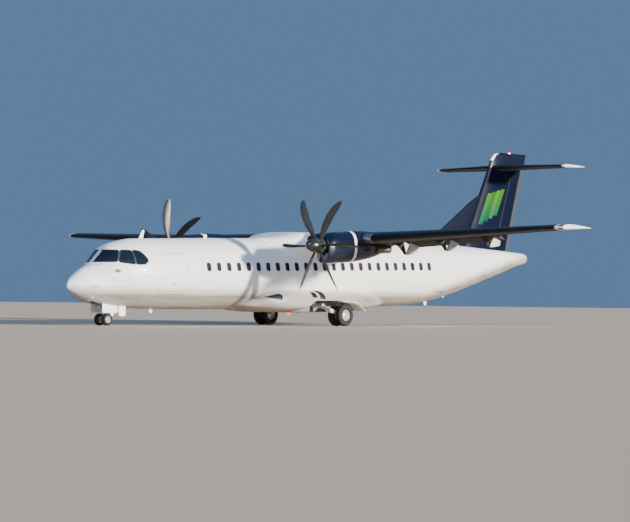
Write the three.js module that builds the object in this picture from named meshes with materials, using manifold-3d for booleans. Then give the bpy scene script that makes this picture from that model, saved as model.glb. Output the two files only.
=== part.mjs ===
import * as THREE from 'three';
import { mergeVertices } from 'three/addons/utils/BufferGeometryUtils.js';
import Module from 'manifold-3d';

// Turboprop airliner with a high wing and a T-tail, parked on its landing gear.
// Millimetres. X runs aft from the nose tip, Y to starboard, Z up from the ground.
// The whole group is moved forward by half the length at the end of the file.

// Driving dimensions
const length = 27170;
const span = 27050;
const seatGap = 0.3;
const hullSides = 24;

// Fuselage
const hullHalfWidth = 1432.5;

// Body sections: station, bottom, top, half width
const hullStations = [
  [0, 1420, 1460, 20],
  [90, 1290, 1660, 120],
  [310, 1124, 1846, 318],
  [640, 944, 2066, 495],
  [1100, 790, 2316, 680],
  [1450, 740, 2640, 820],
  [1800, 707, 2955, 980],
  [2270, 678, 3100, 1162],
  [2940, 650, 3230, 1330],
  [3700, 628, 3265, 1400],
  [4540, 618, 3290, hullHalfWidth],
  [8380, 640, 3400, hullHalfWidth],
  [13000, 726, 3486, hullHalfWidth],
  [18000, 819, 3560, hullHalfWidth],
  [19400, 925, 3550, 1405],
  [20500, 1100, 3515, 1320],
  [21600, 1330, 3465, 1160],
  [23130, 1730, 3400, 880],
  [25020, 2230, 3300, 540],
  [26400, 2620, 3215, 280],
  [26850, 2700, 3190, 220],
  [27080, 2770, 3130, 150],
  [length, 2900, 3000, 40],
];

// Where the fuselage panels meet
const hullJoints = {
  radome: [0, 940],
  cockpit_section: [940, 3100],
  forward_fuselage: [3100, 8300],
  centre_fuselage: [8300, 14600],
  aft_fuselage: [14600, 21300],
  tail_cone: [21300, length],
};

// Wing
const wingRootLeading = 11050;
const wingRootChord = 2570;
const wingKink = 4900;
const wingTipLeading = 11780;
const wingTipChord = 1590;
const wingTipStart = 13250;
const wingRootHeight = 3400;
const wingTipHeight = 3740;

// Wing-like sections: spanwise place, leading edge, chord, height, thickness ratio
const wingStations = [
  [0, wingRootLeading, wingRootChord, wingRootHeight, 0.18],
  [wingKink, wingRootLeading, wingRootChord, wingRootHeight, 0.18],
  [wingTipStart, wingTipLeading - 20, wingTipChord + 30, wingTipHeight - 10, 0.13],
  [span / 2 - 90, wingTipLeading + 120, wingTipChord - 40, wingTipHeight, 0.115],
  [span / 2, wingTipLeading + 620, wingTipChord - 490, wingTipHeight + 5, 0.07],
];
const tailplaneHalfSpan = 3655;
const tailplaneStations = [
  [0, 24560, 2050, 6930, 0.12],
  [3560, 25200, 1280, 6935, 0.11],
  [tailplaneHalfSpan, 25500, 1060, 6935, 0.07],
];
const finStations = [
  [3000, 22420, 3410, 0, 0.13],
  [6935, 24440, 2490, 0, 0.105],
];
const capStations = [
  [6935, 24440, 2490, 0, 0.105],
  [7250, 24560, 2455, 0, 0.1],
  [7530, 24840, 2245, 0, 0.075],
  [7605, 25180, 1920, 0, 0.05],
];

// Beacon on the cap: station, foot and top, radii
const capBeacon = { station: 25900, foot: 7560, top: 7650, footRadius: 42, topRadius: 26 };

// Propellers and nacelles
const propellerOffset = 4050;
const propellerStation = 9050;
const propellerHeight = 3090;
const propellerRadius = 1965;
const bladeCount = 6;
const hubRadius = 285;
const bladeAngles = { left: 30, right: -9 };

// Propeller blade, radial along Z: radius, chord, thickness, pitch from the disc, sweep
const bladeStations = [
  [230, 120, 90, 78, 0],
  [420, 190, 62, 76, 20],
  [800, 300, 40, 72, 45],
  [1250, 330, 26, 68, 30],
  [1650, 290, 18, 65, -40],
  [1880, 190, 12, 63, -110],
  [propellerRadius, 80, 8, 62, -150],
];

// Blade section as shares of its chord and thickness, round on the side that faces forward
const bladeSection = [[-0.5, 0], [0, 0.3], [0.5, 0], [0.3, -0.36], [0, -0.5], [-0.3, -0.36]];

// Landing gear
const noseGearStation = 1800;
const noseWheelRadius = 225;
const noseWheelOffset = 200;
const mainGearStation = 12570;
const mainGearOffset = 2050;
const mainWheelRadius = 432;
const mainWheelSpacing = 210;
const wheelSides = 20;

// Moving surfaces
const wingCamber = 0.02;
const hingeClearance = 9;
const hingePinRadius = 14;
const flapPivot = [0.74, -0.21];
const flapRestAngle = 22;
const flapBracketHalf = 30;
const flapBossHeight = 10;
const flapBossRadius = 42;
const flapArmWidth = 60;
const innerFlapStart = 1520;
const innerFlapEnd = 3640;
const innerFlapHinges = [1800, 3300];
const outerFlapStart = 4930;
const outerFlapEnd = 9460;
const outerFlapHinges = [5080, 7120, 9200];
const aileronHinge = 0.76;
const aileronEnd = 13100;

// Doors and bays: station, side and height of each opening's corners
const cabinDoor = { low: [19570, -1700, 1420], high: [20270, -200, 3170] };
const cargoDoor = { low: [3450, -1700, 1180], high: [4725, -200, 2710] };
const serviceDoor = { low: [19600, 200, 1720], high: [20290, 1700, 2990] };
const exitHatch = { low: [5560, 200, 1620], high: [6110, 1700, 2580] };
const hingeStandoff = 20;
const hingeInset = 60;
const doorThickness = 70;
const doorClearance = 8;
const entranceInboard = 500;
const cargoHoldInboard = 500;
const barrelRadius = 13;
const barrelLength = 80;
const barrelMargin = 6;
const doorWeb = [
  { y: -8, z: -6 },
  { y: 6, z: -6 },
  { y: 10, z: 10 },
  { y: 45, z: 60, inner: true },
  { y: 10, z: 70, inner: true },
  { y: -10, z: 12 },
];
const frameWeb = [
  { y: 0, z: 8 },
  { y: -4, z: -8 },
  { y: 160, z: -90, inner: true },
  { y: 110, z: -30, inner: true },
  { y: 8, z: 2 },
];
const glazingThickness = 30;

// Cockpit window band, seen from the side, from the windscreen to the aft tip of the quarter panes
const glazingOutline = [
  [700, 2330],
  [1740, 2335],
  [1970, 2300],
  [2140, 2278],
  [2340, 2250],
  [2710, 2258],
  [2830, 2312],
  [2902, 2385],
  [2904, 2470],
  [2852, 2566],
  [2784, 2672],
  [2715, 2755],
  [2585, 2790],
  [1600, 2790],
  [700, 2790],
];

// Bay of the nose gear
const noseBayFront = 950;
const noseBayRear = 2740;
const noseBayHalf = 295;
const noseBayRoof = 1000;

// Fairings over the wing root and below the floor: station, bottom, top, half width
const wingFairingStations = [
  [9600, 3300, 3430, 300],
  [10000, 3140, 3470, 760],
  [10500, 2920, 3560, 1130],
  [10900, 2720, 3670, 1380],
  [11200, 2620, 3710, 1450],
  [13000, 2610, 3715, 1460],
  [14300, 2700, 3660, 1390],
  [15600, 2870, 3590, 1180],
  [16700, 3080, 3550, 760],
];
const wingFairingPower = 3.5;
const bellyFairingStations = [
  [7900, 735, 930, 640],
  [8300, 690, 1020, 1060],
  [8800, 630, 1200, 1460],
  [9400, 560, 1380, 1720],
  [9900, 530, 1440, 1800],
  [12500, 530, 1460, 1830],
  [14200, 560, 1440, 1790],
  [15400, 700, 1300, 1480],
  [16300, 810, 1150, 1010],
  [16750, 880, 1080, 620],
];
const bellyFairingPower = 3.2;

// Open well for the main wheels: station and height
const wheelWellInboard = 1150;
const wheelWellOutline = [
  [10630, 300],
  [14130, 300],
  [14130, 590],
  [13650, 930],
  [12700, 1010],
  [11400, 1000],
  [10630, 540],
];
const gearDoorLine = [
  [12750, 1005],
  [13640, 929.5],
  [14080, 618],
];
const jackPad = { station: 11500, side: 700, height: 505, rise: 120, radius: 60 };

// Beacon below the belly, on the flat that ends at a row of the fairing's table
const bellyBeacon = { station: 11750, row: 5, drop: 120, topRadius: 75, footRadius: 45 };

// Aerial on the cabin roof
const aerialOutline = [
  [3500, 3000],
  [3760, 3000],
  [3700, 3590],
  [3590, 3590],
];
const aerialHalf = 12;

// Tail
const dorsalHalf = 45;
const dorsalOutline = [
  [19500, 3300],
  [23500, 3200],
  [24000, 5800],
  [23150, 5350],
  [21360, 4200],
  [20370, 3640],
  [19500, 3545],
];
const rudderHinge = 0.66;
const rudderBottom = 3670;
const rudderTop = 6800;
const rudderReach = 1600;
const elevatorHinge = 0.7;
const elevatorStart = 230;
const elevatorEnd = 3400;

// Nacelles and engines: station, bottom, top, half width
const nacelleStations = [
  [9300, 2430, 3420, 320],
  [9600, 2420, 3590, 410],
  [10300, 2450, 3645, 450],
  [10950, 2500, 3700, 460],
  [11840, 2640, 3700, 450],
  [12400, 2800, 3640, 400],
  [12850, 3010, 3560, 330],
  [13350, 3170, 3470, 240],
  [13850, 3290, 3390, 80],
];
const engineFront = 9400;
const engineRear = 11000;
const engineHalfWidth = 270;
const engineBottom = 2700;
const engineTop = 3290;
const shaftRadius = 95;
const shaftClearance = 12;
const hubHalf = 170;
const spinnerLength = 480;
const intakeHeight = 2620;
const intakeRadius = 120;
const nacellePower = 2.4;
const nacelleSides = 18;

// Exhaust pipe beside the nacelle, oval and open aft: ends of its middle line, half width and half height
const exhaust = {
  start: [11950, 4450, 3000],
  end: [12520, 4635, 3020],
  halfWidth: 105,
  halfHeight: 150,
  wall: 14,
};
const exhaustDepth = 0.75;
const exhaustSides = 20;

// Gear details
const noseLegBottom = 560;
const noseAxleRadius = 28;
const mainAxleRadius = 48;
const noseDoorInside = 306;
const noseDoorThickness = 22;
const noseDoorOutline = [
  [1450, 520],
  [1500, 470],
  [2150, 466],
  [2210, 520],
  [2210, 900],
  [1450, 900],
];
const noseRearDoorOutline = [
  [2260, 420],
  [2300, 356],
  [2550, 350],
  [2610, 410],
  [2610, 900],
  [2260, 900],
];
const noseLegRadius = 75;
const noseForkRadius = 55;
const noseStrut = { foot: 760, reach: 610, headroom: 45, radius: 38 };
const noseAxleHousing = { half: 52, radius: 62 };
const mainDoorInside = 1500;
const mainDoorOutside = 2040;

// Rods of the starboard main gear leg
const mainLegRods = {
  trunnion: {
    from: [11960, wheelWellInboard + seatGap, 800],
    to: [11960, 1700, 800],
    radius: 95,
    sides: 16,
  },
  post: { from: [11960, 1650, 790], to: [11985, mainGearOffset, 610], radius: 82, sides: 14 },
  pivot: {
    from: [11985, mainGearOffset - 70, 610],
    to: [11985, mainGearOffset + 70, 610],
    radius: 88,
    sides: 16,
  },
  shockStrut: { from: [12170, mainGearOffset, 600], to: [11990, 1500, 820], radius: 50, sides: 12 },
  axleHousing: {
    from: [mainGearStation, mainGearOffset - 66, mainWheelRadius],
    to: [mainGearStation, mainGearOffset + 66, mainWheelRadius],
    radius: 86,
    sides: 16,
  },
};

// Trailing arm between the wheels, from the pivot to the axle
const trailingArmHalf = 50;
const trailingArmOutline = [
  [11965, 690],
  [11925, 550],
  [mainGearStation - 20, mainWheelRadius - 78],
  [mainGearStation + 60, mainWheelRadius - 50],
  [mainGearStation + 60, mainWheelRadius + 50],
  [mainGearStation - 20, mainWheelRadius + 78],
];

// Colours and finishes
const paints = {
  white: [0xf2f2f0, 0.25, 0.0],
  navy: [0x16254a, 0.28, 0.0],
  grey: [0x8d939b, 0.4, 0.1],
  boot: [0x0b0c10, 0.45, 0.0],
  glass: [0x1b2a38, 0.08, 0.0],
  blade: [0x101114, 0.4, 0.0],
  steel: [0xb9bcc0, 0.35, 0.8],
  rubber: [0x17171a, 0.85, 0.0],
  engine: [0x6d7074, 0.5, 0.7],
  red: [0xc01818, 0.2, 0.0],
};

const wasm = await Module();
wasm.setup();

// A closed geometry becomes a solid that can be joined and cut
function solidOf(geometry) {
  const bare = geometry.clone();
  bare.deleteAttribute('normal');
  bare.deleteAttribute('uv');
  const merged = mergeVertices(bare, 1e-3);
  return new wasm.Manifold(new wasm.Mesh({
    numProp: 3,
    vertProperties: new Float32Array(merged.attributes.position.array),
    triVerts: new Uint32Array(merged.index.array),
  }));
}

function geometryOf(solid) {
  const mesh = solid.getMesh();
  const geometry = new THREE.BufferGeometry();
  geometry.setAttribute('position', new THREE.BufferAttribute(mesh.vertProperties, 3));
  geometry.setIndex(new THREE.BufferAttribute(mesh.triVerts, 1));
  geometry.computeVertexNormals();
  return geometry;
}

// A cut can leave splinters beside the piece, and the piece is the largest of them
function largest(solid) {
  const pieces = solid.decompose();
  pieces.sort((a, b) => b.volume() - a.volume());
  return pieces[0];
}

// A closed skin through rings of equal point counts, with flat ends. The quads are split the other way
// round on the port side, so that a body about the middle plane is the same on both sides
function loft(rings) {
  const count = rings[0].length;
  const positions = rings.flat().flatMap((p) => [p.x, p.y, p.z]);
  const indices = [];
  for (let ring = 0; ring < rings.length - 1; ring += 1) {
    for (let i = 0; i < count; i += 1) {
      const j = (i + 1) % count;
      const a = ring * count + i;
      const b = ring * count + j;
      if (rings[ring][i].y + rings[ring][j].y < 0) {
        indices.push(a, b, b + count, a, b + count, a + count);
      } else {
        indices.push(a, b, a + count, b, b + count, a + count);
      }
    }
  }
  const last = rings.length - 1;
  indices.push(...endFaces(rings[0]).reverse());
  indices.push(...endFaces(rings[last]).map((i) => last * count + i));
  if (enclosedVolume(positions, indices) < 0) {
    indices.reverse();
  }
  const geometry = new THREE.BufferGeometry();
  geometry.setAttribute('position', new THREE.Float32BufferAttribute(positions, 3));
  geometry.setIndex(indices);
  return solidOf(geometry);
}

// Triangles over a flat ring, all counterclockwise about the ring's own normal
function endFaces(ring) {
  const normal = new THREE.Vector3();
  ring.forEach((p, i) => normal.add(new THREE.Vector3().crossVectors(p, ring[(i + 1) % ring.length])));
  normal.normalize();
  const across = new THREE.Vector3().subVectors(ring[1], ring[0]);
  across.addScaledVector(normal, -across.dot(normal)).normalize();
  const along = new THREE.Vector3().crossVectors(normal, across);
  const flat = ring.map((p) => new THREE.Vector2(p.dot(across), p.dot(along)));
  const turn = ([a, b, c]) => flat[b].clone().sub(flat[a]).cross(flat[c].clone().sub(flat[a]));
  const faces = THREE.ShapeUtils.triangulateShape(flat, []);
  return faces.flatMap((face) => (turn(face) < 0 ? [...face].reverse() : face));
}

function enclosedVolume(positions, indices) {
  const corner = (i) => new THREE.Vector3().fromArray(positions, 3 * indices[i]);
  let sum = 0;
  for (let i = 0; i < indices.length; i += 3) {
    sum += corner(i).dot(corner(i + 1).cross(corner(i + 2)));
  }
  return sum / 6;
}

// Value of a table column at a station, on a smooth curve through the rows
function interpolate(table, at, column) {
  let i = table.findIndex((row) => row[0] > at) - 1;
  if (i < 0) {
    i = at <= table[0][0] ? 0 : table.length - 2;
  }
  const slope = (k) => {
    const before = table[Math.max(k - 1, 0)];
    const after = table[Math.min(k + 1, table.length - 1)];
    return (after[column] - before[column]) / (after[0] - before[0]);
  };
  const [low, high] = [table[i], table[i + 1]];
  const step = high[0] - low[0];
  const t = (at - low[0]) / step;
  return (2 * t ** 3 - 3 * t ** 2 + 1) * low[column]
    + (t ** 3 - 2 * t ** 2 + t) * step * slope(i)
    + (3 * t ** 2 - 2 * t ** 3) * high[column]
    + (t ** 3 - t ** 2) * step * slope(i + 1);
}

// Body ring at a station, square corners as the power rises above 2
function bodyRing(table, station, { grow = 0, sides = hullSides, power = 2, centreY = 0 } = {}) {
  const bottom = interpolate(table, station, 1) - grow;
  const top = interpolate(table, station, 2) + grow;
  const halfWidth = interpolate(table, station, 3) + grow;
  const middle = (bottom + top) / 2;
  const ring = [];
  for (let i = 0; i < sides; i += 1) {
    const angle = (2 * Math.PI * (i + 0.5)) / sides;
    const bulge = (value) => Math.sign(value) * Math.abs(value) ** (2 / power);
    ring.push(new THREE.Vector3(
      station,
      centreY + halfWidth * bulge(Math.cos(angle)),
      middle + (top - middle) * bulge(Math.sin(angle)),
    ));
  }
  return ring;
}

// Body between two stations, with a ring at each row and at each extra division
function body(table, from, to, options = {}) {
  const stations = [from];
  const rows = table.map((row) => row[0]).filter((station) => station > from + 60 && station < to - 60);
  for (const station of rows) {
    stations.push(station);
  }
  stations.push(to);
  return loft(stations.map((station) => bodyRing(table, station, options)));
}

function box(low, high) {
  const size = high.map((value, axis) => value - low[axis]);
  const geometry = new THREE.BoxGeometry(...size);
  geometry.translate(...low.map((value, axis) => value + size[axis] / 2));
  return solidOf(geometry);
}

// Outline in X and Z, extruded from one Y to another
function plate(outline, fromY, toY) {
  const ring = (y) => outline.map(([x, z]) => new THREE.Vector3(x, y, z));
  return loft([ring(Math.min(fromY, toY)), ring(Math.max(fromY, toY))]);
}

function rod(from, to, radius, sides = 12, endRadius = radius) {
  const start = new THREE.Vector3(...from);
  const end = new THREE.Vector3(...to);
  const along = new THREE.Vector3().subVectors(end, start);
  const geometry = new THREE.CylinderGeometry(endRadius, radius, along.length(), sides);
  geometry.translate(0, along.length() / 2, 0);
  const up = new THREE.Vector3(0, 1, 0);
  geometry.applyQuaternion(new THREE.Quaternion().setFromUnitVectors(up, along.normalize()));
  geometry.translate(start.x, start.y, start.z);
  return solidOf(geometry);
}

// Solid of revolution about a line along X or Y, with a flat at the bottom: profile rows are distance along
// it, radius
function turned(profile, centre, axis, sides = 24) {
  const geometry = new THREE.LatheGeometry(profile.map(([at, r]) => new THREE.Vector2(r, at)), sides);
  geometry.rotateY(Math.PI / sides);
  if (axis === 'x') {
    geometry.rotateZ(-Math.PI / 2);
  }
  geometry.translate(...centre);
  return solidOf(geometry);
}

function join(...solids) {
  return solids.reduce((sum, solid) => sum.add(solid));
}

function cut(solid, ...tools) {
  return tools.reduce((rest, tool) => rest.subtract(tool), solid);
}

// The same solid on the other side of the aircraft's middle plane
function mirrored(solid) {
  return solid.mirror([0, 1, 0]);
}

// Aerofoil outline in X and Z with its nose at the origin, from the upper trailing edge round the nose
function aerofoil(chord, thickness, { camber = 0.02, grow = 0, rows = 10 } = {}) {
  const edge = 5;
  const side = (sign) => {
    const points = [];
    for (let i = 0; i <= rows; i += 1) {
      const x = (1 - Math.cos((Math.PI * i) / rows)) / 2;
      const half = 5 * thickness * (0.2969 * Math.sqrt(x) - 0.126 * x - 0.3516 * x ** 2
        + 0.2843 * x ** 3 - 0.1036 * x ** 4);
      const middle = 4 * camber * x * (1 - x);
      points.push([x * chord, (middle + sign * half) * chord + sign * edge * x]);
    }
    return points;
  };
  const outline = [...side(1).reverse(), ...side(-1).slice(1)];
  return grow ? offsetOutline(outline, grow) : outline;
}

// Moves each point of a counterclockwise outline outwards
function offsetOutline(outline, distance) {
  return outline.map((point, i) => {
    const before = outline[(i + outline.length - 1) % outline.length];
    const after = outline[(i + 1) % outline.length];
    const [dx, dz] = [after[0] - before[0], after[1] - before[1]];
    const size = Math.hypot(dx, dz);
    return [point[0] + (dz / size) * distance, point[1] - (dx / size) * distance];
  });
}

// Linear values of a section table at a place along the span
function sectionAt(table, place) {
  const at = Math.abs(place);
  const next = Math.max(table.findIndex((row) => row[0] >= at - 1e-6), 1);
  const [low, high] = [table[next - 1], table[next]];
  const t = (at - low[0]) / (high[0] - low[0]);
  return low.map((value, column) => value + (high[column] - value) * t);
}

// Section points of a wing lying flat, or of a fin standing up, in the aircraft's frame
function setSection(outline, place, [, leading, , height], upright) {
  return outline.map(([x, z]) => (upright
    ? new THREE.Vector3(leading + x, z, place)
    : new THREE.Vector3(leading + x, place, height + z)));
}

// Solid through the sections of a table between two places along its span
function surface(table, from, to, options = {}) {
  const { grow = 0, camber = 0.02, upright = false, outline = null } = options;
  const between = table.map((row) => row[0]).filter((y) => y > from + 1 && y < to - 1);
  return loft([from, ...between, to].map((place) => {
    const section = sectionAt(table, place);
    const [, , chord, , thickness] = section;
    const points = outline ? outline(chord, thickness) : aerofoil(chord, thickness, { grow, camber });
    return setSection(points, place, section, upright);
  }));
}

// Height of an aerofoil's skin over its chord line, as fractions of the chord
function skin(x, thickness, sign, camber) {
  const half = 5 * thickness * (0.2969 * Math.sqrt(x) - 0.126 * x - 0.3516 * x ** 2
    + 0.2843 * x ** 3 - 0.1036 * x ** 4);
  return 4 * camber * x * (1 - x) + sign * half;
}

// A height between the lower skin at 0 and the upper skin at 1
function between(x, thickness, share, camber = wingCamber) {
  const low = skin(x, thickness, -1, camber);
  const high = skin(x, thickness, 1, camber);
  return low + (high - low) * share;
}

// Space behind the wing's rear spar that the flap slides out of
function flapBay(chord, thickness) {
  const lip = between(0.8, thickness, 1) - 0.0055;
  return [
    [0.725, -0.3],
    [1.4, -0.3],
    [1.4, 0.3],
    [0.8, 0.3],
    [0.8, lip],
    [0.745, between(0.745, thickness, 0.75)],
    [0.725, between(0.725, thickness, 0.45)],
  ].map(([x, z]) => [x * chord, z * chord]);
}

// Flap section in its retracted place, counterclockwise from the upper trailing edge
function flapOutline(chord, thickness) {
  const edge = 2.5 / chord;
  const share = (x, part) => [x, between(x, thickness, part)];
  return [
    [0.999, edge],
    share(0.95, 1),
    share(0.89, 1),
    share(0.83, 1),
    [0.805, between(0.805, thickness, 1) - 0.0125],
    share(0.77, 0.65),
    share(0.747, 0.42),
    share(0.735, 0.22),
    share(0.738, 0.08),
    share(0.75, 0),
    share(0.82, 0),
    share(0.91, 0),
    [0.999, -edge],
  ].map(([x, z]) => [x * chord, z * chord]);
}

// Section of a surface hinged at a share of the chord, with a round nose about its hinge
function hingedOutline(hinge, camber) {
  return (chord, thickness) => {
    const middle = between(hinge, thickness, 0.5, camber);
    const radius = (between(hinge, thickness, 1, camber) - middle);
    const nose = [];
    for (let i = 1; i < 6; i += 1) {
      const angle = Math.PI / 2 + (Math.PI * i) / 6;
      nose.push([hinge + radius * Math.cos(angle), middle + radius * Math.sin(angle)]);
    }
    const edge = 2.5 / chord;
    const stops = [0.99, (2 + hinge) / 3, (1 + 2 * hinge) / 3, hinge];
    const upper = stops.map((x) => [x, x === 0.99 ? edge + 1e-4 : between(x, thickness, 1, camber)]);
    const lower = stops.map((x) => [x, x === 0.99 ? -edge : between(x, thickness, 0, camber)]);
    return [...upper, ...nose, ...lower.reverse()].map(([x, z]) => [x * chord, z * chord]);
  };
}

// Everything behind a plane just ahead of a hinged surface's nose
function hingedBay(hinge, camber) {
  return (chord, thickness) => {
    const radius = (between(hinge, thickness, 1, camber) - between(hinge, thickness, 0, camber)) / 2;
    const front = (hinge - radius) * chord - hingeClearance;
    const rear = 1.3 * chord;
    const reach = 0.3 * chord;
    return [[front, -reach], [rear, -reach], [rear, reach], [front, reach]];
  };
}

// A point given in fractions of the local chord, in the aircraft's frame
function chordPoint(table, place, [x, z], upright = false) {
  const section = sectionAt(table, place);
  return setSection([[x * section[2], z * section[2]]], place, section, upright)[0];
}

// Surface hinged on the line between two points, with pins that reach the ends of its bay
function hingedSurface(table, from, to, hinge, options) {
  const { camber = 0 } = options;
  const outline = hingedOutline(hinge, camber);
  const blade = surface(table, from + hingeClearance, to - hingeClearance, { ...options, outline });
  const pivot = (place) => {
    const middle = between(hinge, sectionAt(table, place)[4], 0.5, camber);
    return chordPoint(table, place, [hinge, middle]);
  };
  const [start, end] = [pivot(from), pivot(to)];
  const along = new THREE.Vector3().subVectors(end, start).normalize();
  const lean = hingePinRadius * Math.sqrt(1 - Math.max(...along.toArray().map(Math.abs)) ** 2);
  start.addScaledVector(along, seatGap + lean);
  end.addScaledVector(along, -seatGap - lean);
  return { solid: join(blade, rod(start.toArray(), end.toArray(), hingePinRadius, 12)), start, end };
}

// Turns a solid about the line between two points
function turnAbout(solid, start, end, degrees) {
  const along = new THREE.Vector3().subVectors(end, start).normalize();
  const matrix = new THREE.Matrix4().makeTranslation(...start.toArray())
    .multiply(new THREE.Matrix4().makeRotationAxis(along, THREE.MathUtils.degToRad(degrees)))
    .multiply(new THREE.Matrix4().makeTranslation(...start.clone().negate().toArray()));
  return solid.transform(matrix.elements);
}

const airliner = new THREE.Group();
airliner.name = 'turboprop_airliner';
airliner.position.x = -length / 2;

function place(name, solid, paint) {
  const [color, roughness, metalness] = paints[paint];
  const material = new THREE.MeshStandardMaterial({ color, roughness, metalness });
  const mesh = new THREE.Mesh(geometryOf(solid), material);
  mesh.name = name;
  airliner.add(mesh);
}

// A piece built on the starboard side, and its twin to port
function placePair(name, solid, paint) {
  place(`${name}_right`, solid, paint);
  place(`${name}_left`, mirrored(solid), paint);
}

// Wing, its flaps and its ailerons
const centreWing = surface(wingStations, -wingKink + seatGap / 2, wingKink - seatGap / 2);
const grownWing = surface(wingStations, -wingKink - 1, wingKink + 1, { grow: seatGap });

// Leans a solid that was built along Y so that it follows another direction through a point
function leanTo(solid, centre, direction) {
  const turn = new THREE.Quaternion().setFromUnitVectors(new THREE.Vector3(0, 1, 0), direction);
  const matrix = new THREE.Matrix4().makeTranslation(...centre)
    .multiply(new THREE.Matrix4().makeRotationFromQuaternion(turn))
    .multiply(new THREE.Matrix4().makeTranslation(...centre.map((v) => -v)));
  return solid.transform(matrix.elements);
}

// A fixed bracket below the wing and the arm beside it that carries the flap
function flapHinge(y, direction) {
  const [, leading, chord, height, thickness] = sectionAt(wingStations, y);
  const low = (x) => between(x, thickness, 0);
  const set = (points) => points.map(([x, z]) => [leading + x * chord, height + z * chord]);
  const [x, z] = flapPivot;
  const bracket = plate(set([
    [0.5, low(0.5) + 0.012],
    [0.6, -0.11],
    [0.7, z - 0.018],
    [x, z - 0.024],
    [x + 0.02, z],
    [x, z + 0.024],
    [0.715, low(0.715) + 0.012],
  ]), y - flapBracketHalf, y + flapBracketHalf);
  const centre = [leading + x * chord, y, height + z * chord];
  const at = (offset) => [centre[0], y + offset, centre[2]];
  const boss = rod(at(0), at(flapBracketHalf + flapBossHeight), flapBossRadius, 16);
  const armStart = y + flapBracketHalf + flapBossHeight + seatGap;
  const arm = plate(set([
    [x - 0.02, z],
    [x, z - 0.03],
    [0.86, z + 0.025],
    [0.98, z + 0.1],
    [0.97, low(0.97) + 0.004],
    [0.85, low(0.85) + 0.008],
    [0.765, low(0.765) + 0.008],
    [x - 0.012, z + 0.03],
  ]), armStart, armStart + flapArmWidth);
  return { fixed: leanTo(join(bracket, boss), centre, direction), arm: leanTo(arm, centre, direction) };
}

// Flap from one rib to the next, turned down from its retracted place
function makeFlap(from, to, hingePlaces) {
  const bay = surface(wingStations, from, to, { outline: flapBay });
  const panel = surface(wingStations, from + hingeClearance, to - hingeClearance, { outline: flapOutline });
  const start = chordPoint(wingStations, from, flapPivot);
  const end = chordPoint(wingStations, to, flapPivot);
  const direction = new THREE.Vector3().subVectors(end, start).normalize();
  const hinges = hingePlaces.map((y) => flapHinge(y, direction));
  const retracted = join(panel, ...hinges.map((hinge) => hinge.arm));
  return {
    bay,
    fixed: join(...hinges.map((hinge) => hinge.fixed)),
    solid: turnAbout(retracted, start, end, flapRestAngle),
    start,
    end,
  };
}

const innerFlap = makeFlap(innerFlapStart, innerFlapEnd, innerFlapHinges);
const outerFlap = makeFlap(outerFlapStart, outerFlapEnd, outerFlapHinges);
const aileronBay = surface(wingStations, outerFlapEnd + 60, aileronEnd, {
  outline: hingedBay(aileronHinge, wingCamber),
});
const aileron = hingedSurface(wingStations, outerFlapEnd + 60, aileronEnd, aileronHinge, {
  camber: wingCamber,
});

const outerWing = surface(wingStations, wingKink + seatGap / 2, span / 2);
place('wing_centre', join(
  cut(centreWing, innerFlap.bay, mirrored(innerFlap.bay)),
  innerFlap.fixed,
  mirrored(innerFlap.fixed),
), 'navy');
placePair('wing_outer', join(cut(outerWing, outerFlap.bay, aileronBay), outerFlap.fixed), 'navy');
placePair('flap_inner', innerFlap.solid, 'grey');
placePair('flap_outer', outerFlap.solid, 'grey');
placePair('aileron', aileron.solid, 'grey');

// Fuselage, split where the real panels meet
const hull = body(hullStations, 0, length);
const grownHull = body(hullStations, 0, length, { grow: seatGap });

function hullPiece(name) {
  const [from, to] = hullJoints[name];
  const low = from === 0 ? from - 1 : from + seatGap / 2;
  const high = to === length ? to + 1 : to - seatGap / 2;
  return hull.intersect(box([low, -2000, 0], [high, 2000, 4500]));
}

// A panel of the hull's skin inside a block, as thick as a door
function hullPanel(low, high, depth) {
  const inner = body(hullStations, 0, length, { grow: -depth });
  return cut(hull.intersect(box(low, high)), inner);
}

const glazingBlock = plate(glazingOutline, -1500, 1500);
const glazingHole = plate(offsetOutline(glazingOutline, seatGap), -1500, 1500);
const glazingInner = body(hullStations, 0, 4000, { grow: -glazingThickness });
const glazingSeat = body(hullStations, 0, 4000, { grow: -glazingThickness - seatGap });

// Panel that fills its opening and has no hinge, and the space that it takes
function flushPanel({ low, high }) {
  const inner = body(hullStations, 0, length, { grow: -doorThickness });
  const seat = body(hullStations, 0, length, { grow: -doorThickness - seatGap });
  const grown = box(low.map((v) => v - seatGap), high.map((v) => v + seatGap));
  return { panel: cut(hull.intersect(box(low, high)), inner), hole: cut(grown, seat) };
}

// Opening of a hinged door with the space behind it
function doorway({ low, high }, inboard) {
  const margin = doorClearance;
  return box([low[0] - margin, low[1], low[2] - margin], [high[0] + margin, inboard, high[2] + margin]);
}

// Point a little outside the port skin at a station and height
function outsideSkin(station, height) {
  const [bottom, top, halfWidth] = [1, 2, 3].map((column) => interpolate(hullStations, station, column));
  const [middle, half] = [(bottom + top) / 2, (top - bottom) / 2];
  const rise = (height - middle) / half;
  const y = halfWidth * Math.sqrt(1 - rise ** 2);
  const normal = new THREE.Vector2(y / halfWidth ** 2, rise / half).normalize();
  return new THREE.Vector3(station, -y - hingeStandoff * normal.x, height + hingeStandoff * normal.y);
}

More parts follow.
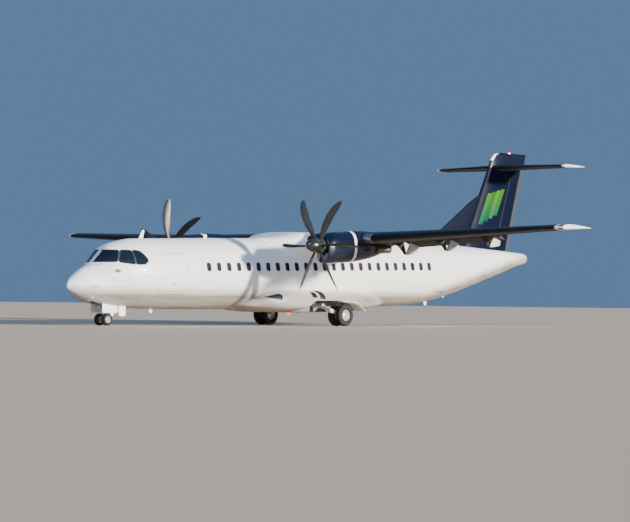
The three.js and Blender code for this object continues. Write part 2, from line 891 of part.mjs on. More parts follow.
// Hinge along a door's sill or head, parallel to X, with its barrels outside the skin: each door barrel
// turns beside one on the frame. The side is 1 where the door stands above the hinge and -1 where it
// hangs below. The points of a web that are marked inner follow the skin as the body narrows
function outsideHinge({ low, high }, side) {
  const edge = side > 0 ? low[2] : high[2];
  const ends = [outsideSkin(low[0] + hingeInset, edge), outsideSkin(high[0] - hingeInset, edge)];
  const axis = ends[0].y < ends[1].y ? ends[0] : ends[1];
  const barrel = (from) => {
    return rod([from, axis.y, axis.z], [from + barrelLength, axis.y, axis.z], barrelRadius, 10);
  };
  const web = (from, outline) => {
    const ring = (x) => {
      const reach = outsideSkin(x, edge).y - axis.y;
      return outline.map(({ y, z, inner }) => {
        return new THREE.Vector3(x, axis.y + y + (inner ? reach : 0), axis.z + side * z);
      });
    };
    return loft([ring(from + barrelMargin), ring(from + barrelLength - barrelMargin)]);
  };
  const door = [];
  const frame = [];
  for (const from of [ends[0].x, ends[1].x - 2 * barrelLength - seatGap]) {
    const beside = from + barrelLength + seatGap;
    door.push(barrel(from), web(from, doorWeb));
    frame.push(barrel(beside), web(beside, frameWeb));
  }
  return { door: join(...door), frame: join(...frame) };
}

function hingedPanel({ low, high }) {
  return cut(hull.intersect(box(low, high)), body(hullStations, 0, length, { grow: -doorThickness }));
}

const cabinFittings = outsideHinge(cabinDoor, 1);
const cargoFittings = outsideHinge(cargoDoor, -1);
const exit = flushPanel(exitHatch);
const service = flushPanel(serviceDoor);
const noseBay = box([noseBayFront, -noseBayHalf, 0], [noseBayRear, noseBayHalf, noseBayRoof]);

place('radome', hullPiece('radome'), 'white');
const cockpitSection = cut(hullPiece('cockpit_section'), glazingHole.subtract(glazingSeat), noseBay);
place('cockpit_section', cockpitSection, 'white');
place('cockpit_glazing', cut(hull.intersect(glazingBlock), glazingInner), 'glass');
place('forward_fuselage', join(
  cut(hullPiece('forward_fuselage'), doorway(cargoDoor, -cargoHoldInboard), exit.hole, mirrored(exit.hole)),
  cargoFittings.frame,
), 'white');
place('centre_fuselage', largest(cut(hullPiece('centre_fuselage'), grownWing)), 'white');
place('aft_fuselage', join(
  cut(hullPiece('aft_fuselage'), doorway(cabinDoor, -entranceInboard), service.hole),
  cabinFittings.frame,
), 'white');
place('tail_cone', hullPiece('tail_cone'), 'white');
place('passenger_door', join(hingedPanel(cabinDoor), cabinFittings.door), 'white');
place('cargo_door', join(hingedPanel(cargoDoor), cargoFittings.door), 'white');
place('service_door', service.panel, 'white');
placePair('exit_hatch', exit.panel, 'white');

// Fairing over the wing's root, and the fairing below the floor that holds the main gear
const wingFairing = body(wingFairingStations, wingFairingStations[0][0], wingFairingStations.at(-1)[0], {
  power: wingFairingPower,
});
place('wing_fairing', largest(cut(wingFairing, grownHull, grownWing)), 'white');

const bellyFairing = body(bellyFairingStations, bellyFairingStations[0][0], bellyFairingStations.at(-1)[0], {
  power: bellyFairingPower,
});
const wheelWell = plate(wheelWellOutline, wheelWellInboard, 2200);
const padFoot = [jackPad.station, jackPad.side, jackPad.height];
const jackPads = rod(padFoot, [padFoot[0], padFoot[1], padFoot[2] + jackPad.rise], jackPad.radius, 16);
const bellyShell = cut(bellyFairing, grownHull, wheelWell, mirrored(wheelWell));
place('belly_fairing', join(largest(bellyShell), jackPads, mirrored(jackPads)), 'white');

// Tail
const finWhole = surface(finStations, finStations[0][0], finStations[1][0], { camber: 0, upright: true });
const dorsal = plate(dorsalOutline, -dorsalHalf, dorsalHalf);
const grownTailplane = join(
  surface(tailplaneStations, 0, tailplaneHalfSpan, { camber: 0, grow: seatGap }),
  surface(tailplaneStations, -tailplaneHalfSpan, 0, { camber: 0, grow: seatGap }),
);

// Block along the rudder's hinge line. Its ends are square to the line, so the swinging rudder stays clear
function rudderBlock(inset, radius) {
  const [start, end] = [rudderBottom, rudderTop].map((height) => {
    return chordPoint(finStations, height, [rudderHinge, 0], true);
  });
  const step = end.clone().sub(start).setLength(inset);
  return rod(start.add(step).toArray(), end.sub(step).toArray(), radius, 12);
}

const rudderParts = [hingedBay, hingedOutline].map((outline) => {
  return surface(finStations, finStations[0][0], finStations[1][0], {
    upright: true,
    outline: outline(rudderHinge, 0),
  });
});
const rudderBay = rudderParts[0].intersect(rudderBlock(0, rudderReach));
const rudder = rudderParts[1].intersect(rudderBlock(hingeClearance, rudderReach));
place('fin', largest(cut(join(finWhole, dorsal), grownHull, grownTailplane, rudderBay)), 'navy');
place('rudder', join(rudder, rudderBlock(seatGap, hingePinRadius)), 'navy');

const elevatorBay = surface(tailplaneStations, elevatorStart, elevatorEnd, {
  outline: hingedBay(elevatorHinge, 0),
});
const elevator = hingedSurface(tailplaneStations, elevatorStart, elevatorEnd, elevatorHinge, {});
const tailplane = join(
  surface(tailplaneStations, 0, tailplaneHalfSpan, { camber: 0 }),
  surface(tailplaneStations, -tailplaneHalfSpan, 0, { camber: 0 }),
);
place('tailplane', cut(tailplane, elevatorBay, mirrored(elevatorBay)), 'boot');
placePair('elevator', elevator.solid, 'grey');
const cap = surface(capStations, capStations[0][0] + seatGap, capStations.at(-1)[0], {
  camber: 0,
  upright: true,
});
const beaconOnCap = rod(
  [capBeacon.station, 0, capBeacon.foot],
  [capBeacon.station, 0, capBeacon.top],
  capBeacon.footRadius,
  16,
  capBeacon.topRadius,
);
place('fin_cap', join(largest(cut(cap, grownTailplane)), beaconOnCap), 'navy');

// Nacelles, each with the engine as one block on its shaft line
const nacelleOptions = { centreY: propellerOffset, power: nacellePower, sides: nacelleSides };
const nacelleFront = nacelleStations[0][0];
const nacelleShape = body(nacelleStations, nacelleFront, nacelleStations.at(-1)[0], nacelleOptions);
const engineBlock = box(
  [engineFront, propellerOffset - engineHalfWidth, engineBottom],
  [engineRear, propellerOffset + engineHalfWidth, engineTop],
);
const engineRoom = box(
  [engineFront - seatGap, propellerOffset - engineHalfWidth - seatGap, engineBottom - seatGap],
  [engineRear + seatGap, propellerOffset + engineHalfWidth + seatGap, engineTop + seatGap],
);
const onShaft = (x) => [x, propellerOffset, propellerHeight];
const shaftHole = rod(
  onShaft(nacelleFront - 50),
  onShaft(engineFront + 50),
  shaftRadius + shaftClearance,
  20,
);
const intake = rod(
  [nacelleFront - 50, propellerOffset, intakeHeight],
  [engineFront + 20, propellerOffset, intakeHeight + 60],
  intakeRadius,
  16,
);
placePair('nacelle', largest(cut(nacelleShape, grownWing, engineRoom, shaftHole, intake)), 'navy');
placePair('engine', engineBlock, 'engine');

// Oval pipe between two shares of the exhaust's middle line, thinner by a wall
function ovalPipe({ start, end, halfWidth, halfHeight }, from, to, wall) {
  return loft([from, to].map((share) => {
    const centre = new THREE.Vector3(...start).lerp(new THREE.Vector3(...end), share);
    const ring = [];
    for (let i = 0; i < exhaustSides; i += 1) {
      const angle = (2 * Math.PI * i) / exhaustSides;
      ring.push(new THREE.Vector3(
        centre.x,
        centre.y + (halfWidth - wall) * Math.cos(angle),
        centre.z + (halfHeight - wall) * Math.sin(angle),
      ));
    }
    return ring;
  }));
}

const grownNacelle = body(nacelleStations, nacelleFront, nacelleStations.at(-1)[0], {
  ...nacelleOptions,
  grow: seatGap,
});
const exhaustPipe = cut(ovalPipe(exhaust, 0, 1, 0), ovalPipe(exhaust, 1 - exhaustDepth, 1.1, exhaust.wall));
placePair('exhaust', largest(cut(exhaustPipe, grownNacelle, grownWing)), 'engine');

function makeBlade() {
  return loft(bladeStations.map(([radius, chord, thickness, pitch, sweep]) => {
    const turn = THREE.MathUtils.degToRad(pitch);
    return bladeSection.map(([a, b]) => {
      const across = a * chord + sweep;
      const through = b * thickness;
      const x = -across * Math.sin(turn) + through * Math.cos(turn);
      const y = across * Math.cos(turn) + through * Math.sin(turn);
      return new THREE.Vector3(x, y, radius);
    });
  }));
}

// Hub, blades and shaft about the X axis, its first blade turned from upright
function makePropeller(firstAngle) {
  const blade = makeBlade();
  const hub = turned([
    [-hubHalf, 0],
    [-hubHalf, hubRadius - 12],
    [hubHalf, hubRadius],
    [hubHalf, shaftRadius],
    [engineFront - seatGap - propellerStation, shaftRadius],
    [engineFront - seatGap - propellerStation, 0],
  ], [0, 0, 0], 'x');
  const blades = [];
  for (let i = 0; i < bladeCount; i += 1) {
    blades.push(blade.rotate([firstAngle + (360 * i) / bladeCount, 0, 0]));
  }
  return join(hub, ...blades);
}

const spinner = turned([
  [-hubHalf - spinnerLength, 0],
  [-hubHalf - spinnerLength * 0.97, hubRadius * 0.2],
  [-hubHalf - spinnerLength * 0.8, hubRadius * 0.5],
  [-hubHalf - spinnerLength * 0.45, hubRadius * 0.8],
  [-hubHalf - seatGap, hubRadius - 12],
  [-hubHalf - seatGap, 0],
], [0, 0, 0], 'x');
for (const [side, y] of [['left', -propellerOffset], ['right', propellerOffset]]) {
  const propeller = makePropeller(bladeAngles[side]);
  place(`propeller_${side}`, propeller.translate([propellerStation, y, propellerHeight]), 'blade');
  place(`spinner_${side}`, spinner.translate([propellerStation, y, propellerHeight]), 'blade');
}

// Nose gear
const noseAxle = noseWheelRadius;
const noseLeg = join(
  rod([noseGearStation, 0, noseBayRoof - seatGap], [noseGearStation, 0, noseLegBottom], noseLegRadius, 16),
  rod(
    [noseGearStation, 0, noseStrut.foot],
    [noseGearStation - noseStrut.reach, 0, noseBayRoof - noseStrut.headroom],
    noseStrut.radius,
    10,
  ),
);
place('nose_gear_leg', noseLeg, 'steel');
const { half: housingHalf, radius: housingRadius } = noseAxleHousing;
const noseFork = join(
  rod([noseGearStation, 0, noseLegBottom - seatGap], [noseGearStation, 0, noseAxle], noseForkRadius, 16),
  rod(
    [noseGearStation, -housingHalf, noseAxle],
    [noseGearStation, housingHalf, noseAxle],
    housingRadius,
    16,
  ),
);
const noseBore = rod(
  [noseGearStation, -housingHalf - 30, noseAxle],
  [noseGearStation, housingHalf + 30, noseAxle],
  (noseAxleRadius + seatGap) / Math.cos(Math.PI / 16),
  16,
);
place('nose_gear_fork', cut(noseFork, noseBore), 'steel');

// Two hubs on one axle about the Y axis, and the tyre that fits one hub
function wheelPair({ axleRadius, rimRadius, halfWidth, offset }, centre) {
  const inner = offset - halfWidth * 0.7;
  const outer = offset + halfWidth * 0.7;
  const half = [
    [inner, axleRadius],
    [inner + 4, rimRadius],
    [outer, rimRadius],
    [outer - 8, rimRadius * 0.8],
    [offset + halfWidth * 0.2, rimRadius * 0.55],
    [outer, rimRadius * 0.3],
    [outer, 0],
  ];
  const back = half.slice().reverse().map(([at, r]) => [-at, r]);
  return turned([...back, ...half], centre, 'y', wheelSides);
}

function tyre({ rimRadius, wheelRadius, halfWidth }, centre) {
  const inside = rimRadius + seatGap / Math.cos(Math.PI / wheelSides);
  const tread = wheelRadius / Math.cos(Math.PI / wheelSides);
  const wall = tread - inside;
  return turned([
    [-halfWidth * 0.66, inside],
    [-halfWidth, inside + 0.4 * wall],
    [-halfWidth * 0.72, inside + 0.9 * wall],
    [-halfWidth * 0.4, tread],
    [halfWidth * 0.4, tread],
    [halfWidth * 0.72, inside + 0.9 * wall],
    [halfWidth, inside + 0.4 * wall],
    [halfWidth * 0.66, inside],
    [-halfWidth * 0.66, inside],
  ], centre, 'y', wheelSides);
}

const noseWheel = {
  axleRadius: noseAxleRadius,
  rimRadius: 118,
  wheelRadius: noseWheelRadius,
  halfWidth: 95,
  offset: noseWheelOffset,
};
place('nose_wheels', wheelPair(noseWheel, [noseGearStation, 0, noseAxle]), 'steel');
placePair('nose_tyre', tyre(noseWheel, [noseGearStation, noseWheelOffset, noseAxle]), 'rubber');

function noseDoor(outline) {
  const whole = plate(outline, noseDoorInside, noseDoorInside + noseDoorThickness);
  return largest(cut(whole, grownHull));
}

placePair('nose_gear_door', noseDoor(noseDoorOutline), 'white');
placePair('nose_gear_rear_door', noseDoor(noseRearDoorOutline), 'white');

// Main gear: leg out from the well, trailing arm back between the wheels, shock strut above it
const mainAxle = mainWheelRadius;
const mainCentre = [mainGearStation, mainGearOffset, mainAxle];
const leg = join(
  ...Object.values(mainLegRods).map(({ from, to, radius, sides }) => rod(from, to, radius, sides)),
  plate(trailingArmOutline, mainGearOffset - trailingArmHalf, mainGearOffset + trailingArmHalf),
);
const mainBore = rod(
  [mainGearStation, mainGearOffset - 120, mainAxle],
  [mainGearStation, mainGearOffset + 120, mainAxle],
  (mainAxleRadius + seatGap) / Math.cos(Math.PI / 20),
  20,
);
placePair('main_gear_leg', cut(leg, mainBore), 'steel');
const mainWheel = {
  axleRadius: mainAxleRadius,
  rimRadius: 212,
  wheelRadius: mainWheelRadius,
  halfWidth: 127,
  offset: mainWheelSpacing,
};
placePair('main_wheels', wheelPair(mainWheel, mainCentre), 'steel');
const mainTyres = { main_tyre_inner: -mainWheelSpacing, main_tyre_outer: mainWheelSpacing };
for (const [name, offset] of Object.entries(mainTyres)) {
  placePair(name, tyre(mainWheel, [mainGearStation, mainGearOffset + offset, mainAxle]), 'rubber');
}
const gearDoorInner = gearDoorLine.map(([x, z]) => [x - 14, z - 22]).reverse();
const gearDoor = plate([...gearDoorLine, ...gearDoorInner], mainDoorInside, mainDoorOutside);
placePair('main_gear_door', gearDoor, 'white');

// Aerial and beacon
const roofAerial = plate(aerialOutline, -aerialHalf, aerialHalf);
place('roof_aerial', largest(cut(roofAerial, grownHull)), 'white');
const beaconRow = bellyFairingStations[bellyBeacon.row];
const beaconRing = bodyRing(bellyFairingStations, beaconRow[0], { power: bellyFairingPower });
const beaconTop = Math.min(...beaconRing.map((p) => p.z));
place('belly_beacon', rod(
  [bellyBeacon.station, 0, beaconTop - seatGap],
  [bellyBeacon.station, 0, beaconTop - seatGap - bellyBeacon.drop],
  bellyBeacon.topRadius,
  16,
  bellyBeacon.footRadius,
), 'red');

export default airliner;
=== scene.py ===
import bpy, bmesh
from math import ceil, cos, pi, radians, sin, sqrt
from mathutils import Matrix, Vector


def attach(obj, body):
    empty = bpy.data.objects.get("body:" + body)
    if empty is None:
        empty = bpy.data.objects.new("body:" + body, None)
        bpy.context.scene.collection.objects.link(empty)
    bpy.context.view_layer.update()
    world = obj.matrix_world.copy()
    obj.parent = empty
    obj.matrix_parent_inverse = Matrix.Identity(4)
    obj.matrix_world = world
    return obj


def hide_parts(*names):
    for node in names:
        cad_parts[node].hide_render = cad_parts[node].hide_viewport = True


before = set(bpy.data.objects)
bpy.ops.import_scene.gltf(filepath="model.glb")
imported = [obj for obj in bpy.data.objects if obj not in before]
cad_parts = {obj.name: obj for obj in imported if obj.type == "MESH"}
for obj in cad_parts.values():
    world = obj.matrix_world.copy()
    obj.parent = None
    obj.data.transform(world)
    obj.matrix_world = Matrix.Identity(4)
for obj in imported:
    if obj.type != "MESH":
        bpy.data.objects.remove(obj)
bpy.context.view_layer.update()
print("frame loaded:", len(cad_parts), "nodes")

# Stations are metres aft of the nose tip, and x = station - halfLength
view = {
    "place": (-57.279, -65.022, 0.963),  # station, y, z
    "yaw": 47.337, "pitch": 0.978, "roll": 0.577,
    "focalPixels": 2374.6, "imageWidth": 630, "sensor": 36.0,
}
studio = {
    "floorSize": 900, "floorColor": (0.56, 0.45, 0.34), "skyColor": (0.17, 0.31, 0.56), "skyStrength": 0.66,
    "keyFrom": (0.28, -1.0, 0.2), "keyColor": (1.0, 0.92, 0.8), "keyStrength": 10.5, "keySoftness": 4.0,
    "fillFrom": (-0.75, -0.35, 0.55), "fillColor": (0.52, 0.68, 1.0), "fillStrength": 1.7,
}

bothSides = ((-1, "left"), (1, "right"))

# The same body sections as the frame's solids: station, bottom, top, half width
halfLength = 27.17 / 2
hullTable = [(0, 1.42, 1.46, 0.02), (0.09, 1.29, 1.66, 0.12), (0.31, 1.124, 1.846, 0.318),
    (0.64, 0.944, 2.066, 0.495), (1.1, 0.79, 2.316, 0.68), (1.45, 0.74, 2.64, 0.82),
    (1.8, 0.707, 2.955, 0.98), (2.27, 0.678, 3.1, 1.162), (2.94, 0.65, 3.23, 1.33),
    (3.7, 0.628, 3.265, 1.4), (4.54, 0.618, 3.29, 1.4325), (8.38, 0.64, 3.4, 1.4325),
    (13.0, 0.726, 3.486, 1.4325), (18.0, 0.819, 3.56, 1.4325), (19.4, 0.925, 3.55, 1.405),
    (20.5, 1.1, 3.515, 1.32), (21.6, 1.33, 3.465, 1.16), (23.13, 1.73, 3.4, 0.88), (25.02, 2.23, 3.3, 0.54),
    (26.4, 2.62, 3.215, 0.28), (26.85, 2.7, 3.19, 0.22), (27.08, 2.77, 3.13, 0.15),
    (27.17, 2.9, 3.0, 0.04),]


def roundedKey(station):  # the nose and tail ends close like a bowl, not like a cone
    return sqrt(station)


def smoothValue(table, station, column, key=lambda s: s):
    keys = [key(row[0]) for row in table]
    at = key(station)
    i = max([k for k in range(len(keys) - 1) if keys[k] <= at] or [0])

    def slope(k):
        before, after = max(k - 1, 0), min(k + 1, len(keys) - 1)
        return (table[after][column] - table[before][column]) / (keys[after] - keys[before])

    step = keys[i + 1] - keys[i]
    t = (at - keys[i]) / step
    return ((2 * t**3 - 3 * t**2 + 1) * table[i][column] + (t**3 - 2 * t**2 + t) * step * slope(i)
        + (3 * t**2 - 2 * t**3) * table[i + 1][column] + (t**3 - t**2) * step * slope(i + 1))


def sizesAt(table, station, key=lambda s: s):  # middle height, half height and half width
    bottom, top, half = (smoothValue(table, station, column, key) for column in (1, 2, 3))
    return (bottom + top) / 2, (top - bottom) / 2, half


def bulged(value, power):
    return (1 if value > 0 else -1) * abs(value) ** (2 / power)


def bodyRing(table, station, sides, power=2.0, grow=0.0, centreY=0.0, key=lambda s: s):
    middle, tall, half = sizesAt(table, station, key)
    tall += grow
    ring = []
    for i in range(sides):
        angle = 2 * pi * (i + 0.5) / sides
        ring.append(at(station, centreY + (half + grow) * bulged(cos(angle), power),
            middle + tall * bulged(sin(angle), power)))
    return ring


def spaced(start, end, step):
    count = max(1, ceil((end - start) / step))
    return [start + (end - start) * i / count for i in range(count + 1)]


def loftRings(mesh, rings, closed=True, capped=True, slot=0):
    rows = [[mesh.verts.new(p) for p in ring] for ring in rings]
    count = len(rows[0])
    faces = []
    for low, high in zip(rows, rows[1:]):
        for i in range(count if closed else count - 1):
            j = (i + 1) % count
            faces.append(mesh.faces.new((low[i], low[j], high[j], high[i])))
    if capped and closed:
        faces.append(mesh.faces.new(list(reversed(rows[0]))))
        faces.append(mesh.faces.new(rows[-1]))
    for face in faces:
        face.material_index = slot
    return faces


def finishMesh(name, mesh, materials, smoothAngle=35, weld=1e-5, outward=True):
    if weld:
        bmesh.ops.remove_doubles(mesh, verts=mesh.verts, dist=weld)
    if outward:
        bmesh.ops.recalc_face_normals(mesh, faces=mesh.faces)
    data = bpy.data.meshes.new(name)
    mesh.to_mesh(data)
    mesh.free()
    for key in materials.split():
        data.materials.append(finishes[key])
    piece = bpy.data.objects.new(name, data)
    bpy.context.scene.collection.objects.link(piece)
    shadeByAngle(piece, smoothAngle)
    return piece


def shadeByAngle(piece, degrees):
    data = piece.data
    data.polygons.foreach_set("use_smooth", [True] * len(data.polygons))
    data.set_sharp_from_angle(angle=radians(degrees))


def applied(piece):
    depsgraph = bpy.context.evaluated_depsgraph_get()
    data = bpy.data.meshes.new_from_object(piece.evaluated_get(depsgraph))
    data.name = piece.name
    piece.modifiers.clear()
    piece.data = data
    return piece


def combine(piece, tool, operation, keepTool=False):
    change = piece.modifiers.new("change", "BOOLEAN")
    change.operation = operation
    change.solver = "MANIFOLD"
    change.object = tool
    applied(piece)
    if not keepTool:
        bpy.data.objects.remove(tool)
    return piece


def ridesOn(piece, body, slotName, *nodes):
    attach(piece, body)
    if nodes:
        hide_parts(*nodes)
    return piece


def fit(name, mesh, materials, body, slotName, *nodes):
    return ridesOn(finishMesh(name, mesh, materials), body, slotName, *nodes)


def makeCamera():
    a, e, r = (radians(view[k]) for k in ("yaw", "pitch", "roll"))
    ahead = Vector((sin(a) * cos(e), cos(a) * cos(e), sin(e)))
    right = Vector((cos(a), -sin(a), 0))
    up = right.cross(ahead)
    across, over = right * cos(r) + up * sin(r), up * cos(r) - right * sin(r)
    data = bpy.data.cameras.new("camera")
    data.sensor_width = view["sensor"]
    data.lens = view["focalPixels"] / view["imageWidth"] * view["sensor"]
    data.clip_end = 2000
    camera = bpy.data.objects.new("camera", data)
    station, y, z = view["place"]
    turn = Matrix((across, over, -ahead)).transposed().to_4x4()
    camera.matrix_world = Matrix.Translation((station - halfLength, y, z)) @ turn
    bpy.context.scene.collection.objects.link(camera)
    bpy.context.scene.camera = camera


def softSun(name, towards, color, strength, softness):
    data = bpy.data.lights.new(name, "SUN")
    data.energy, data.color, data.angle = strength, color, radians(softness)
    lamp = bpy.data.objects.new(name, data)
    lamp.rotation_euler = Vector(towards).to_track_quat("Z", "Y").to_euler()
    bpy.context.scene.collection.objects.link(lamp)


class Sum:  # a shader socket that adds its Math nodes when Python operators are used on it
    def __init__(self, tree, socket):
        self.tree, self.socket = tree, socket

    def math(self, operation, *values):
        node = self.tree.nodes.new("ShaderNodeMath")
        node.operation = operation
        for i, value in enumerate(values):
            if isinstance(value, Sum):
                self.tree.links.new(value.socket, node.inputs[i])
            else:
                node.inputs[i].default_value = value
        return Sum(self.tree, node.outputs[0])

    def __add__(self, other):
        return self.math("ADD", self, other)

    def __radd__(self, other):
        return self.math("ADD", other, self)

    def __sub__(self, other):
        return self.math("SUBTRACT", self, other)

    def __rsub__(self, other):
        return self.math("SUBTRACT", other, self)

    def __mul__(self, other):
        return self.math("MULTIPLY", self, other)

    def __rmul__(self, other):
        return self.math("MULTIPLY", other, self)

    def __truediv__(self, other):
        return self.math("DIVIDE", self, other)

    def wave(self, period):
        return self.math("PINGPONG", self, period)

    def most(self, other):
        return self.math("MAXIMUM", self, other)

    def clamped(self):
        return self.math("MINIMUM", self.math("MAXIMUM", self, 0.0), 1.0)

    def band(self, low, high, soft=0.004):  # 1 between two values
        return ((self - low) / soft).clamped() * ((high - self) / soft).clamped()

    def step(self, edge, soft=0.004):  # 1 above a value
        return ((self - edge) / soft).clamped()


class Finish:  # one procedural material, built up from nodes
    def __init__(self, name, roughness=0.4, metallic=0.0, coat=0.0, coatRoughness=0.05, specular=0.5):
        self.material = bpy.data.materials.new(name)
        self.material.use_nodes = True
        self.tree = self.material.node_tree
        self.shader = self.tree.nodes["Principled BSDF"]
        for socket, value in (("Roughness", roughness), ("Metallic", metallic), ("Coat Weight", coat),
                ("Coat Roughness", coatRoughness), ("Specular IOR Level", specular)):
            self.shader.inputs[socket].default_value = value
        self.place = self.node("ShaderNodeTexCoord").outputs["Object"]
        parts = self.node("ShaderNodeSeparateXYZ", values={0: self.place})
        self.x, self.y, self.z = (Sum(self.tree, parts.outputs[i]) for i in range(3))

    def node(self, kind, settings=None, values=None):
        made = self.tree.nodes.new(kind)
        for name, value in (settings or {}).items():
            setattr(made, name, value)
        for key, value in (values or {}).items():
            self.feed(made.inputs[key], value)
        return made

    def feed(self, socket, value):
        if isinstance(value, Sum):
            self.tree.links.new(value.socket, socket)
        elif isinstance(value, bpy.types.NodeSocket):
            self.tree.links.new(value, socket)
        elif isinstance(value, tuple) and len(value) == 3 and len(socket.default_value) == 4:
            socket.default_value = (*value, 1)
        else:
            socket.default_value = value

    def noise(self, scale, detail=3.0, rough=0.5, stretch=(1, 1, 1)):
        mapping = self.node("ShaderNodeMapping", values={"Vector": self.place, "Scale": stretch})
        values = {"Vector": mapping.outputs[0], "Scale": scale, "Detail": detail, "Roughness": rough}
        return Sum(self.tree, self.node("ShaderNodeTexNoise", values=values).outputs["Fac"])

    def mixed(self, amount, low, high):
        made = self.node("ShaderNodeMix", {"data_type": "RGBA"}, {0: amount, 6: low, 7: high})
        return made.outputs[2]

    def color(self, value):
        self.feed(self.shader.inputs["Base Color"], value)
        return self

    def tone(self, amount, low, high):
        return self.color(self.mixed(amount, low, high))

    def rough(self, value):
        self.feed(self.shader.inputs["Roughness"], value)
        return self

    def bump(self, height, distance, strength=1.0):
        values = {"Height": height, "Distance": distance, "Strength": strength}
        self.feed(self.shader.inputs["Normal"], self.node("ShaderNodeBump", values=values).outputs[0])
        return self

    def glow(self, color, strength):
        self.feed(self.shader.inputs["Emission Color"], color)
        self.shader.inputs["Emission Strength"].default_value = strength
        return self


finishes = {}  # every material by its short name
paints = {
    "white": (0.88, 0.88, 0.87), "navy": (0.003, 0.006, 0.02), "grey": (0.13, 0.14, 0.15),
    # dark is painted shade: it makes the flap hinge fairings dark grey
    # dorsal is a grey-blue lighter than the navy fin, partly its own paint and partly a painted reflection
    # of a bright sky
    # under is the grey of the lower surfaces, made darker as painted shade
    "dark": (0.035, 0.038, 0.042), "under": (0.06, 0.06, 0.052), "dorsal": (0.048, 0.054, 0.085),
    "strip": (0.05, 0.056, 0.062),
}
# painted shade and warm ground reflection low on the body: height and fade of the darkening, its colour,
# and where it starts rising along the upswept tail
bellyShade = {
    "height": 1.5, "fade": 0.38, "color": (0.15, 0.125, 0.1), "sweepStart": 19.0, "sweepSlope": 0.235,
}
enamels = {  # material name, paint, roughness, coat, specular
    "white": ("whiteEnamel", "white", 0.4, 0.08, 0.5),
    "whitePlain": ("whitePlainEnamel", "white", 0.4, 0.08, 0.5),
    "whiteDoor": ("whiteDoorEnamel", "white", 0.4, 0.08, 0.5),
    "navy": ("navyEnamel", "navy", 0.34, 0.05, 0.15),
    "grey": ("greyEnamel", "grey", 0.42, 0.3, 0.5), "dark": ("darkGreyEnamel", "dark", 0.65, 0.0, 0.15),
    "under": ("undersideEnamel", "under", 0.7, 0.0, 0.08),
    "dorsal": ("dorsalEnamel", "dorsal", 0.5, 0.0, 0.2),
    "strip": ("stripEnamel", "strip", 0.6, 0.0, 0.1),
}
metals = {  # color, roughness, metallic
    "steel": ((0.56, 0.57, 0.58), 0.28, 0.85), "gearPaint": ((0.6, 0.61, 0.6), 0.36, 0.15),
    "chrome": ((0.8, 0.81, 0.82), 0.1, 1.0), "hot": ((0.16, 0.13, 0.11), 0.45, 0.8),
    "hub": ((0.66, 0.66, 0.64), 0.34, 0.25), "bare": ((0.4, 0.4, 0.41), 0.34, 0.9),
}
lenses = {  # color, glow
    "redLens": ((0.95, 0.02, 0.015), 6.0), "clearLens": ((0.9, 0.88, 0.82), 0.15),
    "pinkLens": ((1.0, 0.16, 0.24), 16.0),
    "portLens": ((0.12, 0.012, 0.012), 0.3), "starboardLens": ((0.01, 0.09, 0.04), 0.3),
}


# enamel with random wear and dark seam lines, and where given, painted shade low on the body
def paintWithWearAndShade(name, color, roughness, seams, belly, coat, specular):
    finish = Finish(name, roughness=roughness, coat=coat, coatRoughness=0.12, specular=specular)
    soil = finish.noise(0.55, 6, 0.62, (0.35, 1, 1.6))
    fine = finish.noise(9, 3, 0.6, (0.25, 1, 1))
    shade = finish.mixed((soil - 0.42) * 1.6, color, tuple(c * 0.9 for c in color))
    if belly:  # painted shade and warm ground reflection, darker low on the body and rising under the tail behind the wheels, broken by streaks
        upsweep = (finish.x - (belly["sweepStart"] - halfLength)).most(0.0) * belly["sweepSlope"]
        low = ((upsweep + belly["height"] - finish.z) / belly["fade"]).clamped()
        streak = ((finish.noise(2.2, 5, 0.6, (0.1, 1.4, 1.4)) - 0.4) * 3.0).clamped()
        shade = finish.mixed(low * (streak * 0.25 + 0.7), shade, belly["color"])
    line = None
    for station in seams:
        mark = (finish.x - (station - halfLength)).band(-0.0035, 0.0035, 0.0015)
        line = mark if line is None else line.most(mark)
    if line is not None:
        shade = finish.mixed(line * 0.55, shade, (0.22, 0.22, 0.22))
    finish.color(shade)
    finish.rough((fine - 0.5) * 0.1 + soil * 0.06 + (roughness - 0.03))
    skinWave = finish.noise(1.7, 2, 0.4, (1.3, 1, 1)) + fine * 0.05
    finish.bump(skinWave, 0.015, 0.35)
    return finish.material


finDesign = {
    "foot": (23.55, 4.4), "top": 6.0, "slope": 0.52, "width": 0.27, "count": 4, "stagger": 0.14,
    "low": (0.0, 0.085, 0.062), "high": (0.046, 0.175, 0.0), "shades": (1.0, 0.7, 1.18, 0.84),
}


def finPaint(base):  # slanting bands side by side, from teal below to leaf green above
    finish = Finish("finEnamel", roughness=0.45, specular=0.05)
    soil = finish.noise(0.7, 5, 0.6)
    shade = finish.mixed((soil - 0.4) * 1.4, base, tuple(c * 0.8 for c in base))
    station, low = finDesign["foot"]
    high, width = finDesign["top"], finDesign["width"]
    along = finish.x - (station - halfLength) - (finish.z - low) * finDesign["slope"]
    rise = ((finish.z - low) / (high - low)).clamped()
    for i in range(finDesign["count"]):
        bright = finDesign["shades"][i]
        tint = finish.mixed(rise, tuple(c * bright for c in finDesign["low"]),
            tuple(c * bright for c in finDesign["high"]))
        shift = finDesign["stagger"] * i
        lid = high - 0.5 * finDesign["stagger"] * (3 - i)
        ends = (finish.z - (low + shift)).step(0, 0.01) * (lid - finish.z).step(0, 0.01)
        shade = finish.mixed(along.band(i * width, (i + 1) * width, 0.006) * ends, shade, tint)
    finish.color(shade)
    finish.rough(soil * 0.08 + 0.38)
    finish.bump(finish.noise(1.7, 2, 0.4), 0.01, 0.3)
    return finish.material


